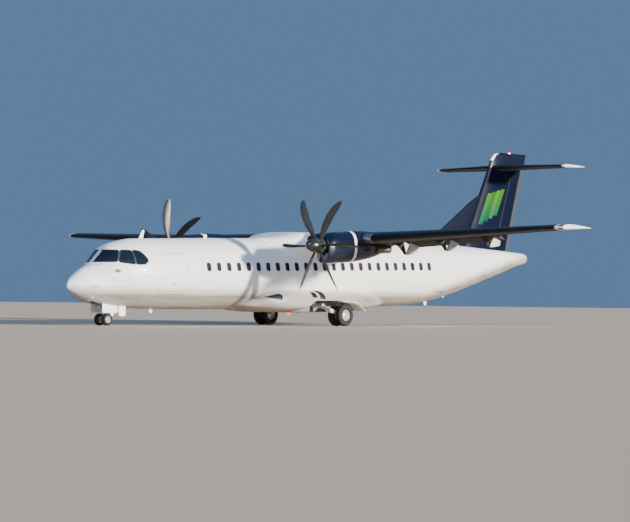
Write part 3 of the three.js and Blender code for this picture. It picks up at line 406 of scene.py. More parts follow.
def nacellePaint(base, pale):  # a pale ring round a navy cowl
    finish = Finish("nacelleEnamel", roughness=0.22, coat=0.35, specular=0.35)
    soil = finish.noise(0.8, 5, 0.6)
    shade = finish.mixed((soil - 0.4) * 1.4, base, tuple(c * 0.8 for c in base))
    low, high = (s - halfLength for s in nacelle["stripe"])
    shade = finish.mixed(finish.x.band(low, high), shade, pale)
    soot = ((finish.x - (12.2 - halfLength)) / 1.2).clamped() * ((3.25 - finish.z) / 0.4).clamped()
    finish.tone(soot * finish.noise(2.5, 5, 0.6, (0.3, 1, 1)), shade, (0.03, 0.028, 0.026))
    finish.rough(soil * 0.08 + 0.15)
    finish.bump(finish.noise(1.7, 2, 0.4), 0.015, 0.35)
    return finish.material


def makeFinishes():
    print("finishes")
    made = {"fin": finPaint(paints["navy"]), "nacelle": nacellePaint(paints["navy"], paints["white"])}
    for key, (name, paint, roughness, coat, specular) in enamels.items():
        seams = hullPlan["seams"] if key == "white" else ()
        # the body's white and its doors get the painted shade low down
        belly = bellyShade if key in ("white", "whiteDoor") else None
        made[key] = paintWithWearAndShade(name, paints[paint], roughness, seams, belly, coat, specular)
    glass = Finish("tintedGlass", roughness=0.08, coatRoughness=0.03, specular=0.35)
    streak = glass.noise(1.1, 3, 0.5, (1, 1, 3))
    glass.tone((streak - 0.35) * 1.6, (0.005, 0.01, 0.018), (0.014, 0.024, 0.038))
    glass.rough((glass.noise(14, 2) - 0.5) * 0.05 + 0.05)
    made["glass"] = glass.material
    cabinGlass = Finish("cabinGlass", roughness=0.38, specular=0.1)
    shade = cabinGlass.noise(0.9, 2, 0.5, (1, 1, 0.2))
    cabinGlass.tone((shade - 0.35) * 2.0, (0.012, 0.016, 0.026), (0.034, 0.038, 0.05))
    cabinGlass.rough((cabinGlass.noise(14, 2) - 0.5) * 0.05 + 0.38)
    made["cabinGlass"] = cabinGlass.material

    seal = Finish("blackSealant", roughness=0.6)
    seal.tone(seal.noise(30, 3), (0.01, 0.01, 0.011), (0.03, 0.03, 0.031))
    seal.bump(seal.noise(60, 3), 0.001, 0.4)
    made["seal"] = seal.material

    boot = Finish("deicerRubber", roughness=0.5, specular=0.2)
    patch = boot.noise(1.8, 5, 0.6, (1, 0.5, 1))
    boot.tone((patch - 0.35) * 1.5, (0.006, 0.007, 0.009), (0.02, 0.021, 0.024))
    boot.rough(patch * 0.22 + 0.28)
    boot.bump(boot.y.wave(0.16) * 2.0 + boot.noise(40, 2) * 0.2, 0.002, 0.35)
    made["boot"] = boot.material

    for name, (color, low, metal) in metals.items():
        metalSkin = Finish(name + "Metal", roughness=low, metallic=metal)
        grain = metalSkin.noise(6, 6, 0.65)
        scratch = metalSkin.noise(90, 3, 0.6, (1, 1, 0.2))
        metalSkin.tone((grain - 0.38) * 2.2, color, tuple(c * 0.72 for c in color))
        metalSkin.rough(grain * 0.16 + scratch * 0.06 + (low - 0.08))
        metalSkin.bump(scratch, 0.0006, 0.3)
        made[name] = metalSkin.material

    tyre = Finish("tyreRubber", roughness=0.8, specular=0.3)
    dust = tyre.noise(7, 6, 0.7)
    tyre.tone((dust - 0.36) * 2.0, (0.012, 0.012, 0.013), (0.05, 0.046, 0.042))
    tyre.rough(dust * 0.2 + 0.68)
    tyre.bump(tyre.noise(120, 3) * 0.4 + dust * 0.5, 0.002, 0.5)
    made["tyre"] = tyre.material

    blade = Finish("bladeComposite", roughness=0.42, specular=0.45)
    chips = blade.noise(11, 6, 0.65)
    blade.tone((chips - 0.4) * 1.8, (0.01, 0.01, 0.012), (0.03, 0.03, 0.032))
    blade.rough(chips * 0.2 + 0.3)
    made["blade"] = blade.material
    spinner = Finish("spinnerBlack", roughness=0.22, coat=0.5)
    spinner.tone(spinner.noise(4, 5), (0.012, 0.012, 0.013), (0.026, 0.026, 0.028))
    spinner.rough(spinner.noise(9, 4) * 0.12 + 0.18)
    made["spinner"] = spinner.material
    tip = Finish("bladeTipGrey", roughness=0.45)
    tip.tone(tip.noise(12, 5), (0.22, 0.22, 0.23), (0.34, 0.34, 0.35))
    made["tip"] = tip.material

    inside = Finish("bayLining", roughness=0.6)
    stain = inside.noise(3, 6, 0.6)
    inside.tone((stain - 0.35) * 1.8, (0.2, 0.205, 0.19), (0.085, 0.085, 0.08))
    inside.bump(inside.x.wave(0.12) * 1.2 + stain * 0.2, 0.006, 0.6)
    made["inside"] = inside.material
    cabinLining = Finish("cabinLining", roughness=0.7)
    cabinLining.tone(cabinLining.noise(5, 4), (0.5, 0.49, 0.46), (0.4, 0.39, 0.37))
    cabinLining.bump(cabinLining.noise(150, 2), 0.001, 0.3)
    made["lining"] = cabinLining.material
    carpet = Finish("floorRubber", roughness=0.9)
    carpet.tone(carpet.noise(180, 3), (0.03, 0.035, 0.05), (0.06, 0.065, 0.08))
    carpet.bump(carpet.noise(300, 2), 0.002, 0.6)
    made["carpet"] = carpet.material

    for name, (color, strength) in lenses.items():
        lens = Finish(name, roughness=0.08, coat=1.0)
        lens.tone(lens.noise(40, 2), tuple(c * 0.7 for c in color), color)
        lens.glow(color, strength)
        made[name] = lens.material
    return made


hullPlan = {
    "sides": 96, "seams": (0.94, 3.1, 5.2, 8.3, 14.6, 17.4, 21.3, 24.1, 26.3),
    "doorDepth": 0.07, "doorGap": 0.013, "vestibuleY": -0.5, "corner": 0.09,
    "cabinDoor": (19.57, 1.42, 20.27, 3.17), "cargoDoor": (3.45, 1.18, 4.725, 2.71),
    "serviceDoor": (19.6, 1.72, 20.29, 2.99), "exitHatch": (5.56, 1.62, 6.11, 2.58), "panelCorner": 0.07,
    "panels": [(-1, (1.36, 1.62, 2.02, 2.2)), (1, (1.36, 1.62, 2.02, 2.2)), (1, (3.9, 1.35, 4.6, 2.0)),
               (-1, (21.7, 2.05, 22.4, 2.6)), (1, (21.7, 2.05, 22.4, 2.6))],
    "noseBay": (0.95, 2.74, 0.295, 1.0), "seamRadius": 0.0045,
}


def hullRings(start, end, grow):
    stations = [s * s for s in spaced(sqrt(start), sqrt(min(end, 4.0)), 0.034)] if start < 4 else [start]
    stations += spaced(max(start, 4.0), min(end, 26.6), 0.22)[1:] if end > 4 else []
    stations += spaced(26.6, end, 0.045)[1:] if end > 26.6 else []
    return [bodyRing(hullTable, s, hullPlan["sides"], grow=grow, key=roundedKey) for s in stations]


def hullSolid(name, start=0.0, end=2 * halfLength, grow=0.0, materials=""):
    mesh = bmesh.new()
    loftRings(mesh, hullRings(start, end, grow))
    return finishMesh(name, mesh, materials)


def skinPoint(station, height, side=-1, lift=0.0):  # on the body's side at a station and height
    middle, tall, half = sizesAt(hullTable, station, roundedKey)
    rise = max(-0.999, min(0.999, (height - middle) / tall))
    y = half * sqrt(1 - rise**2)
    normal = Vector((0, y / half**2, rise / tall)).normalized()
    point = at(station, y, height) + normal * lift
    return Vector((point.x, side * point.y, point.z)), Vector((0, side * normal.y, normal.z))


def roundedOutline(corners, radius, steps=5):  # corners in order, each replaced by an arc
    points = []
    count = len(corners)
    for i, corner in enumerate(corners):
        here = Vector(corner)
        before, after = Vector(corners[i - 1]) - here, Vector(corners[(i + 1) % count]) - here
        reach = min(radius, before.length * 0.45, after.length * 0.45)
        start, end = here + before.normalized() * reach, here + after.normalized() * reach
        for k in range(steps + 1):
            t = k / steps
            points.append((1 - t)**2 * start + 2 * t * (1 - t) * here + t**2 * end)
    return points


def rectangle(box, radius, grow=0.0):
    low, bottom, high, top = box
    corners = [(low - grow, bottom - grow), (high + grow, bottom - grow), (high + grow, top + grow),
        (low - grow, top + grow)]
    return roundedOutline(corners, radius + grow)


def prism(name, outline, fromY, toY, materials=""):  # an outline of station and height, thick along Y
    mesh = bmesh.new()
    loftRings(mesh, [[at(s, y, z) for s, z in outline] for y in (fromY, toY)])
    return finishMesh(name, mesh, materials)


def tubeAlong(mesh, path, radius, sides=6, closed=False, slot=0):
    count = len(path)
    rings = []
    turn = None
    for i, point in enumerate(path):
        before = path[i - 1] if closed or i else path[0]
        after = path[(i + 1) % count] if closed or i < count - 1 else path[-1]
        along = (after - before).normalized()
        if turn is None:
            turn = along.orthogonal().normalized()
        turn = (turn - along * turn.dot(along)).normalized()
        other = along.cross(turn)
        r = radius(i / max(1, count - 1)) if callable(radius) else radius
        rings.append([point + (turn * cos(2 * pi * k / sides) + other * sin(2 * pi * k / sides)) * r
            for k in range(sides)])
    if closed:
        rows = [[mesh.verts.new(p) for p in ring] for ring in rings]
        for i, low in enumerate(rows):
            high = rows[(i + 1) % count]
            for k in range(sides):
                face = mesh.faces.new((low[k], low[(k + 1) % sides], high[(k + 1) % sides], high[k]))
                face.material_index = slot
    else:
        loftRings(mesh, rings, slot=slot)


def joined(name, pieces):  # several pieces become one, with all their finishes
    first = pieces[0]
    for piece in pieces:
        piece.select_set(True)
    bpy.context.view_layer.objects.active = first
    with bpy.context.temp_override(active_object=first, selected_editable_objects=pieces,
            selected_objects=pieces):
        bpy.ops.object.join()
    first.name = first.data.name = name
    first.select_set(False)
    return first


glazing = {
    "frontPane": [(0.8, 2.347), (1.708, 2.357), (1.938, 2.772), (0.8, 2.772)],
    "sidePane": [(1.772, 2.35), (1.97, 2.318), (2.14, 2.296), (2.335, 2.272), (2.374, 2.772), (2.0, 2.772)],
    "quarterPane": [(2.388, 2.268), (2.7, 2.277), (2.812, 2.332), (2.88, 2.4), (2.88, 2.465), (2.83, 2.555),
                    (2.765, 2.655), (2.7, 2.74), (2.57, 2.772), (2.428, 2.772)],
    "centrePost": 0.07, "sealWidth": 0.029, "sealDepth": 0.034, "glassDepth": 0.006,
    "glassThickness": 0.018,
    "corner": 0.05, "area": (0.65, 2.25, 3.05, 2.8),
}
windows = {
    "count": 25, "first": (5.86, 2.23), "last": (18.79, 2.47), "width": 0.262, "height": 0.362,
    "corner": 0.115,
    "recess": 0.03, "rimWidth": 0.016, "rimProud": 0.0035, "paneDepth": 0.012,
}


def windowPlaces():  # point, facing and lengthwise direction of every cabin window
    (x0, z0), (x1, z1) = windows["first"], windows["last"]
    places = []
    for side in (-1, 1):
        for i in range(windows["count"]):
            t = i / (windows["count"] - 1)
            turn = windowFrame(x0 + (x1 - x0) * t, z0 + (z1 - z0) * t, side)
            places.append((turn.translation, turn.col[2].xyz, turn.col[0].xyz))
    return places


def windowRing(inset, depth):  # the window's outline in its own plane
    wide, tall = windows["width"] / 2, windows["height"] / 2
    outline = rectangle((-wide, -tall, wide, tall), windows["corner"])
    return [Vector((p.x, p.y, depth)) for p in (grownOutline(outline, -inset) if inset else outline)]


def windowFrame(station, height, side):  # matrix from a window's own plane to its place on the skin
    point, normal = skinPoint(station, height, side)
    along = Vector((1, 0, 0))
    along = (along - normal * along.dot(normal)).normalized()
    upward = normal.cross(along) * (1 if normal.cross(along).z > 0 else -1)
    if along.cross(upward).dot(normal) < 0:
        along = -along
    return Matrix.Translation(point) @ Matrix((along, upward, normal)).transposed().to_4x4()


def makeGlazing():  # returns the recess for the panes and their seals
    outer = hullSolid("outer", 0.3, 3.6)
    inner = hullSolid("inner", 0.25, 3.65, -glazing["sealDepth"])
    glassTop = hullSolid("glassTop", 0.25, 3.65, -glazing["glassDepth"])
    glassLow = hullSolid("glassLow", 0.2, 3.7, -glazing["glassDepth"] - glazing["glassThickness"])
    panes, seals, recess = [], [], None
    for side, label in ((-1, "Left"), (1, "Right")):
        band, openings = None, []
        for key in ("frontPane", "sidePane", "quarterPane"):
            outline = roundedOutline(glazing[key], glazing["corner"])
            wide = prism("wide", grownOutline(outline, glazing["sealWidth"]), side * 0.02, side * 1.6)
            narrow = prism("narrow", outline, side * 0.02, side * 1.6)
            if key == "frontPane":
                for tool, post in ((wide, glazing["centrePost"]),
                        (narrow, glazing["centrePost"] + glazing["sealWidth"])):
                    combine(tool, blockPiece("post", (-14, -post, 2), (-11, post, 3)), "DIFFERENCE")
            band = wide if band is None else combine(band, wide, "UNION")
            openings.append((key, narrow))
        ring = duplicate(band, "seal" + label, "seal")
        combine(combine(ring, outer, "INTERSECT", True), inner, "DIFFERENCE", True)
        for key, narrow in openings:
            combine(ring, narrow, "DIFFERENCE", True)
            pane = duplicate(narrow, key + label, "glass")
            combine(combine(pane, glassTop, "INTERSECT", True), glassLow, "DIFFERENCE", True)
            panes.append(pane)
            bpy.data.objects.remove(narrow)
        seals.append(ring)
        combine(band, inner, "DIFFERENCE", True)
        recess = band if recess is None else combine(recess, band, "UNION")
    for tool in (outer, inner, glassTop, glassLow):
        bpy.data.objects.remove(tool)
    for piece in panes + seals:
        shadeByAngle(piece, 30)
    ridesOn(joined("cockpitPanes", panes), "airframe", "glazing", "cockpit_glazing")
    ridesOn(joined("cockpitSeals", seals), "airframe", "tyre_rubber")
    return recess


def duplicate(piece, name, materials=None):
    data = piece.data.copy()
    copy = bpy.data.objects.new(name, data)
    data.name = name
    if materials is not None:
        data.materials.clear()
        for key in materials.split():
            data.materials.append(finishes[key])
    bpy.context.scene.collection.objects.link(copy)
    return copy


def grownOutline(outline, distance):  # a counterclockwise outline moved outwards
    points = [Vector(p) for p in outline]
    area = sum(a.x * b.y - b.x * a.y for a, b in zip(points, points[1:] + points[:1]))
    sign = 1 if area > 0 else -1
    grown = []
    for i, point in enumerate(points):
        along = (points[(i + 1) % len(points)] - points[i - 1]).normalized()
        grown.append(point + Vector((along.y, -along.x)) * distance * sign)
    return grown


def blockPiece(name, low, high, materials=""):
    mesh = bmesh.new()
    ring = [(low[0], low[1]), (high[0], low[1]), (high[0], high[1]), (low[0], high[1])]
    loftRings(mesh, [[Vector((x, y, z)) for x, y in ring] for z in (low[2], high[2])])
    return finishMesh(name, mesh, materials)


def seamLoop(mesh, outline, side):
    path = []
    count = len(outline)
    for i, point in enumerate(outline):
        after = outline[(i + 1) % count]
        steps = max(1, ceil((Vector(after) - Vector(point)).length / 0.06))
        for k in range(steps):
            s, z = Vector(point).lerp(Vector(after), k / steps)
            path.append(skinPoint(s, z, side, 0.001)[0])
    tubeAlong(mesh, path, hullPlan["seamRadius"], 6, closed=True)


def makeFuselage():
    print("fuselage")
    hull = hullSolid("fuselageSkin", materials="white")
    whole = duplicate(hull, "wholeHull")
    depth = hullSolid("depth", 2.6, 22.0, -hullPlan["doorDepth"])
    doors = {}
    gap = hullPlan["doorGap"]
    for name in ("cabinDoor", "cargoDoor"):
        box = hullPlan[name]
        panel = prism(name, rectangle(box, hullPlan["corner"]), -1.75, -0.3, "whiteDoor")
        doors[name] = combine(combine(panel, whole, "INTERSECT", True), depth, "DIFFERENCE", True)
        doorway = prism("doorway", rectangle(box, hullPlan["corner"], gap), -1.75, hullPlan["vestibuleY"],
            "lining")
        combine(hull, doorway, "DIFFERENCE")
    front, back, half, roof = hullPlan["noseBay"]
    combine(hull, blockPiece("bay", at(front, -half, 0), at(back, half, roof), "inside"), "DIFFERENCE")
    combine(hull, makeGlazing(), "DIFFERENCE")

    recess = bmesh.new()
    loftRings(recess, [windowRing(0, depth) for depth in (-windows["recess"], 0.05)])
    combine(hull, copiesOn("windowRecess", windowPlaces(), finishMesh("recess", recess, ""), "seal"),
        "DIFFERENCE")

    grooves = bmesh.new()
    hatch = hullPlan["exitHatch"]
    for side, box in [(1, hullPlan["serviceDoor"]), (-1, hatch), (1, hatch)] + hullPlan["panels"]:
        seamLoop(grooves, rectangle(box, hullPlan["panelCorner"]), side)
    tool = finishMesh("grooves", grooves, "seal")
    combine(hull, tool, "DIFFERENCE")
    shadeByAngle(hull, 28)
    ridesOn(hull, "airframe", "white_paint", "radome", "cockpit_section", "forward_fuselage",
        "centre_fuselage", "aft_fuselage", "tail_cone", "service_door", "exit_hatch_left",
        "exit_hatch_right")
    for tool in (whole, depth):
        bpy.data.objects.remove(tool)
    for name, node in (("cabinDoor", "passenger_door"), ("cargoDoor", "cargo_door")):
        shadeByAngle(doors[name], 28)
        ridesOn(doors[name], node, "white_paint", node)
    makeWindows()


def makeWindows():
    rim, pane = bmesh.new(), bmesh.new()
    inside, proud, deep = windows["rimWidth"], windows["rimProud"], -windows["paneDepth"]
    rings = [windowRing(-0.004, -0.001), windowRing(-0.002, proud), windowRing(inside, proud * 0.4),
        windowRing(inside + 0.003, deep - 0.006), windowRing(0.004, deep - 0.006),
        windowRing(-0.004, -0.001)]
    loftRings(rim, rings, capped=False)
    loftRings(pane, [windowRing(inside + 0.001, depth) for depth in (deep - 0.008, deep)])
    places = windowPlaces()
    rims = copiesOn("windowRims", places, finishMesh("rim", rim, ""), "gearPaint")
    ridesOn(rims, "airframe", "white_paint")
    panes = copiesOn("windowPanes", places, finishMesh("pane", pane, ""), "cabinGlass")
    ridesOn(panes, "airframe", "glazing")


# Wing-like sections, as in the frame: place along the span, leading edge, chord, height, thickness
wing = {
    "table": [(0, 11.05, 2.57, 3.4, 0.18), (4.9, 11.05, 2.57, 3.4, 0.18), (13.25, 11.76, 1.62, 3.73, 0.13),
              (13.435, 11.9, 1.55, 3.74, 0.115), (13.525, 12.4, 1.1, 3.745, 0.07)],
    "camber": 0.02, "kink": 4.9, "tipStart": 13.15, "bootUpper": 0.085, "bootLower": 0.12,
    "bootEnds": (1.62, 3.55), "besideNacelle": (4.5, 4.93),
    "flapPivot": (0.74, -0.21), "flapAngle": 22, "clearance": 0.009,
    "innerFlap": (1.52, 3.64, (1.8, 3.3)), "outerFlap": (4.93, 9.46, (5.08, 7.12, 9.2)),
    "aileron": (9.52, 13.1, 0.76), "bracketHalf": 0.03, "armWidth": 0.06,
    "bosses": [(0.01, 0.042, 20), (0.075, 0.014, 12)],
}
tail = {
    "plane": [(0, 24.56, 2.05, 6.93, 0.12), (3.56, 25.2, 1.28, 6.935, 0.11),
              (3.655, 25.5, 1.06, 6.935, 0.07)],
    "fin": [(3.0, 22.42, 3.41, 0, 0.13), (6.935, 24.44, 2.49, 0, 0.105)],
    "cap": [(6.935, 24.44, 2.49, 0, 0.105), (7.25, 24.56, 2.455, 0, 0.1), (7.53, 24.84, 2.245, 0, 0.075),
            (7.605, 25.18, 1.92, 0, 0.05)],
    "rudder": (3.67, 6.8, 0.66), "elevator": (0.23, 3.4, 0.7), "clearance": 0.009, "rudderReach": 1.6,
    "trailingStrip": 0.92, "whitePatch": (7.25, 7.575, 0.06), "planeTip": 3.42, "bootUpper": 0.09,
    "bootLower": 0.1,
    "capPlaces": [6.935, 7.02, 7.1, 7.18, 7.25, 7.28, 7.35, 7.45, 7.5, 7.53, 7.56, 7.58, 7.605],
    "dorsal": [(19.5, 3.545), (20.37, 3.64), (21.36, 4.2), (23.15, 5.35), (24.0, 5.8)], "dorsalHalf": 0.045,
    "dorsalRound": 0.1, "dorsalRoot": 3.3,
}


def halfThickness(x, thickness):
    return 5 * thickness * (0.2969 * sqrt(x) - 0.126 * x - 0.3516 * x**2 + 0.2843 * x**3 - 0.1036 * x**4)


def between(x, thickness, share, camber):  # height from the lower skin at 0 to the upper at 1
    middle = 4 * camber * x * (1 - x)
    return middle + (2 * share - 1) * halfThickness(x, thickness)


def sectionAt(table, place):
    at = abs(place)
    k = next((i for i in range(1, len(table)) if table[i][0] >= at - 1e-9), len(table) - 1)
    low, high = table[k - 1], table[k]
    t = (at - low[0]) / (high[0] - low[0])
    return [a + (b - a) * t for a, b in zip(low, high)]


def aerofoilOutline(thickness, camber, chord, rows=26, edge=0.005):  # from the upper trailing edge
    def side(sign):
        points = []
        for i in range(rows + 1):
            x = (1 - cos(pi * i / rows)) / 2
            z = 4 * camber * x * (1 - x) + sign * halfThickness(x, thickness) + sign * edge / chord * x
            points.append((x, z, sign * x))
        return points
    return list(reversed(side(1))) + side(-1)[1:]


def hingedOutline(hinge, camber, edge=0.0025):  # a moving surface with a round nose about its hinge
    def outline(thickness, _, chord):
        middle = between(hinge, thickness, 0.5, camber)
        radius = between(hinge, thickness, 1, camber) - middle
        back = [hinge + (0.99 - hinge) * i / 8 for i in range(9)]
        upper = [(x, between(x, thickness, 1, camber) if x < 0.985 else edge / chord, x)
            for x in reversed(back)]
        nose = [(hinge + radius * cos(a), middle + radius * sin(a), hinge) for a in (pi / 2 + pi * i / 12
            for i in range(1, 12))]
        lower = [(x, between(x, thickness, 0, camber) if x < 0.985 else -edge / chord, -x) for x in back]
        return upper + nose + lower
    return outline


def flapOutline(thickness, camber, chord):
    edge = 0.0025 / chord
    share = lambda x, part: (x, between(x, thickness, part, camber), (2 * part - 1) * x)
    upper = [share(x, 1) for x in (0.97, 0.94, 0.91, 0.88, 0.855, 0.83)]
    nose = [(0.814, between(0.814, thickness, 1, camber) - 0.0065, 0.81),
        (0.803, between(0.803, thickness, 1, camber) - 0.013, 0.8), share(0.785, 0.76), share(0.77, 0.65),
        share(0.757, 0.52), share(0.747, 0.4), share(0.739, 0.28), share(0.735, 0.18), share(0.736, 0.1),
        share(0.741, 0.035)]
    lower = [share(x, 0) for x in (0.75, 0.79, 0.83, 0.87, 0.91, 0.95)]
    return [(0.999, edge, 0.999)] + upper + nose + lower + [(0.999, -edge, -0.999)]


def flapBay(thickness, camber, chord):
    lip = between(0.8, thickness, 1, camber) - 0.0055
    return [(x, z, 0) for x, z in ((0.725, -0.3), (1.4, -0.3), (1.4, 0.3), (0.8, 0.3), (0.8, lip),
        (0.772, between(0.772, thickness, 0.86, camber)), (0.745, between(0.745, thickness, 0.75, camber)),
        (0.725, between(0.725, thickness, 0.45, camber)))]


def hingedBay(hinge, camber, clearance):
    def outline(thickness, _, chord):
        radius = (between(hinge, thickness, 1, camber) - between(hinge, thickness, 0, camber)) / 2
        front = hinge - radius - clearance / chord
        return [(front, -0.3, 0), (1.3, -0.3, 0), (1.3, 0.3, 0), (front, 0.3, 0)]
    return outline


def surfaceSkin(name, table, places, materials, outline=aerofoilOutline, camber=0.0, upright=False,
        pick=None, mesh=None):
    own = mesh is None
    mesh = mesh or bmesh.new()
    rings, marks = [], []
    for place in places:
        _, leading, chord, height, thickness = sectionAt(table, place)
        points = outline(thickness, camber, chord)
        marks = [u for _, _, u in points]
        if upright:
            rings.append([at(leading + x * chord, z * chord, place) for x, z, _ in points])
        else:
            rings.append([at(leading + x * chord, place, height + z * chord) for x, z, _ in points])
    faces = loftRings(mesh, rings)
    if pick:
        count = len(marks)
        for k, face in enumerate(faces[:count * (len(rings) - 1)]):
            i = k % count
            j = (i + 1) % count
            place = (places[k // count] + places[k // count + 1]) / 2
            face.material_index = pick((marks[i] + marks[j]) / 2, place)
        for face, place in zip(faces[-2:], (places[0], places[-1])):
            face.material_index = pick(0.5, place)
    return finishMesh(name, mesh, materials, smoothAngle=30) if own else None


def chordPoint(table, place, spot, upright=False):
    _, leading, chord, height, _ = sectionAt(table, place)
    x, z = leading + spot[0] * chord - halfLength, spot[1] * chord
    return Vector((x, z, place)) if upright else Vector((x, place, height + z))


def flipped(piece):  # to the other side of the middle plane
    piece.data.transform(Matrix.Scale(-1, 4, (0, 1, 0)))
    piece.data.flip_normals()
    return piece


def ridePair(piece, slotName, node="", moving=False):  # a starboard piece and its mirror image
    left = flipped(duplicate(piece, piece.name.replace("Right", "Left")))
    for half, side in ((left, "_left"), (piece, "_right")):
        ridesOn(half, node + side if moving else "airframe", slotName, *([node + side] if node else []))


def tipPlaces(table):  # closes a tip in a smooth curve
    start = table[-2][0]
    end = table[-1][0]
    return [start + (end - start) * t for t in (0.25, 0.5, 0.75, 0.9)]


def bracketFairing(mesh, y, direction, slot):
    _, leading, chord, height, thickness = sectionAt(wing["table"], y)
    low = lambda x: between(x, thickness, 0, wing["camber"])
    px, pz = wing["flapPivot"]
    spots = [(0.42, low(0.42) + 0.01, low(0.42) - 0.004, 0.2), (0.5, low(0.5) + 0.01, low(0.5) - 0.022,
        0.7), (0.58, low(0.58) + 0.01, -0.115, 1.0), (0.65, low(0.65) + 0.01, -0.17, 1.0),
        (0.7, low(0.7) + 0.01, pz - 0.02, 0.9), (px, pz + 0.03, pz - 0.026, 0.75),
        (px + 0.022, pz + 0.006, pz - 0.01, 0.3)]
    rings = []
    for x, top, bottom, wide in spots:
        half = wing["bracketHalf"] * wide
        middle, tall = (top + bottom) / 2 * chord, (top - bottom) / 2 * chord
        centre = at(leading + px * chord, y, height + pz * chord)
        ring = []
        for k in range(14):
            a = 2 * pi * (k + 0.5) / 14
            point = at(leading + x * chord, y + half * bulged(cos(a), 3.5), height + middle + tall
                * bulged(sin(a), 3.5))
            ring.append(centre + leanOf(direction) @ (point - centre))
        rings.append(ring)
    loftRings(mesh, rings, slot=slot)


def leanOf(direction):
    return Vector((0, 1, 0)).rotation_difference(direction).to_matrix()


def flapArm(mesh, y, direction, slot):
    _, leading, chord, height, thickness = sectionAt(wing["table"], y)
    low = lambda x: between(x, thickness, 0, wing["camber"])
    px, pz = wing["flapPivot"]
    outline = [(px - 0.02, pz), (px - 0.01, pz - 0.024), (px + 0.008, pz - 0.03), (0.86, pz + 0.025),
        (0.98, pz + 0.1), (0.97, low(0.97) + 0.004), (0.85, low(0.85) + 0.008), (0.765, low(0.765) + 0.008),
        (px - 0.012, pz + 0.03)]
    start = y + wing["bracketHalf"] + 0.0103
    centre = at(leading + px * chord, y, height + pz * chord)
    rings = []
    for offset, shrink in ((0, 0.97), (0.012, 1), (wing["armWidth"] - 0.012, 1), (wing["armWidth"], 0.97)):
        middle = Vector((0.87, low(0.87) - 0.03))
        ring = []
        for x, z in outline:
            spot = middle + (Vector((x, z)) - middle) * shrink
            point = at(leading + spot.x * chord, start + offset, height + spot.y * chord)
            ring.append(centre + leanOf(direction) @ (point - centre))
        rings.append(ring)
    loftRings(mesh, rings, slot=slot)


def turnAbout(start, end, degrees):
    turn = Matrix.Rotation(radians(degrees), 4, (end - start).normalized())
    return Matrix.Translation(start) @ turn @ Matrix.Translation(-start)


def makeWing():
    print("wing")
    materials = "navy boot under white bare"
    bootEnds, besideNacelle = wing["bootEnds"], wing["besideNacelle"]

    def pick(mark, place):
        if abs(place) > wing["tipStart"] or abs(place) < bootEnds[0]:
            return 3
        if -wing["bootLower"] < mark < wing["bootUpper"]:
            if besideNacelle[0] < abs(place) < besideNacelle[1]:
                return 4
            if bootEnds[0] < abs(place) < bootEnds[1] or abs(place) > besideNacelle[1]:
                return 1
        return 0 if mark > 0 else 2

    kink = wing["kink"]
    ends = [*bootEnds, besideNacelle[0]]
    places = sorted(set(spaced(-kink, kink, 0.35) + ends + [-y for y in ends]))
    centre = surfaceSkin("wingCentreSkin", wing["table"], places, materials, camber=wing["camber"],
        pick=pick)
    outerPlaces = [kink + 0.0003, *spaced(besideNacelle[1], wing["tipStart"], 0.4)]
    outerPlaces += [row[0] for row in wing["table"][2:]]
    outerPlaces += tipPlaces(wing["table"][:-1]) + tipPlaces(wing["table"])
    outer = surfaceSkin("wingOuterSkinRight", wing["table"], sorted(set(outerPlaces)), materials,
        camber=wing["camber"], pick=pick)
    flaps = {}
    for key, target in (("innerFlap", centre), ("outerFlap", outer)):
        start, end, hinges = wing[key]
        for side in ((1, -1) if key == "innerFlap" else (1,)):
            bay = surfaceSkin("bay", wing["table"], [start, end], "inside", outline=flapBay,
                camber=wing["camber"])
            combine(target, flipped(bay) if side < 0 else bay, "DIFFERENCE")
        pivotStart, pivotEnd = (chordPoint(wing["table"], y, wing["flapPivot"]) for y in (start, end))
        direction = (pivotEnd - pivotStart).normalized()
        mesh = bmesh.new()
        places = spaced(start + wing["clearance"], end - wing["clearance"], 0.5)
        surfaceSkin(None, wing["table"], places, None, outline=flapOutline, camber=wing["camber"],
            mesh=mesh, pick=lambda mark, place: 0)
        for y in hinges:
            flapArm(mesh, y, direction, 1)
        turn = turnAbout(pivotStart, pivotEnd, wing["flapAngle"])
        bmesh.ops.transform(mesh, matrix=turn, verts=mesh.verts)
        # the flaps take the underside grey all round, darkened as painted shade
        flaps[key] = finishMesh(key + "Right", mesh, "under gearPaint", smoothAngle=30)
        brackets = bmesh.new()
        for y in hinges:
            bracketFairing(brackets, y, direction, 0)
            centrePoint = chordPoint(wing["table"], y, wing["flapPivot"])
            for proud, radius, sides in wing["bosses"]:
                tip = centrePoint + direction * (wing["bracketHalf"] + proud)
                tubeAlong(brackets, [centrePoint, tip], radius, sides, slot=1)
        # the hinge fairings' dark grey is painted shade
        ridePair(finishMesh(key + "BracketsRight", brackets, "dark steel", smoothAngle=40), "wing_paint")
    start, end, hinge = wing["aileron"]
    bay = surfaceSkin("bay", wing["table"], [start, end], "inside", outline=hingedBay(hinge, wing["camber"],
        wing["clearance"]))
    combine(outer, bay, "DIFFERENCE")
    aileron = surfaceSkin("aileronSkinRight", wing["table"], spaced(start + wing["clearance"],
        end - wing["clearance"], 0.5), "navy under", outline=hingedOutline(hinge, wing["camber"]),
        camber=wing["camber"], pick=lambda mark, place: 0 if mark > 0 else 1)
    for piece in (centre, outer):
        shadeByAngle(piece, 30)
    ridesOn(centre, "airframe", "wing_paint", "wing_centre")
    ridePair(outer, "wing_paint", "wing_outer")
    for piece, node in ((flaps["innerFlap"], "flap_inner"), (flaps["outerFlap"], "flap_outer"),
            (aileron, "aileron")):
        ridePair(piece, "grey_paint", node, moving=True)


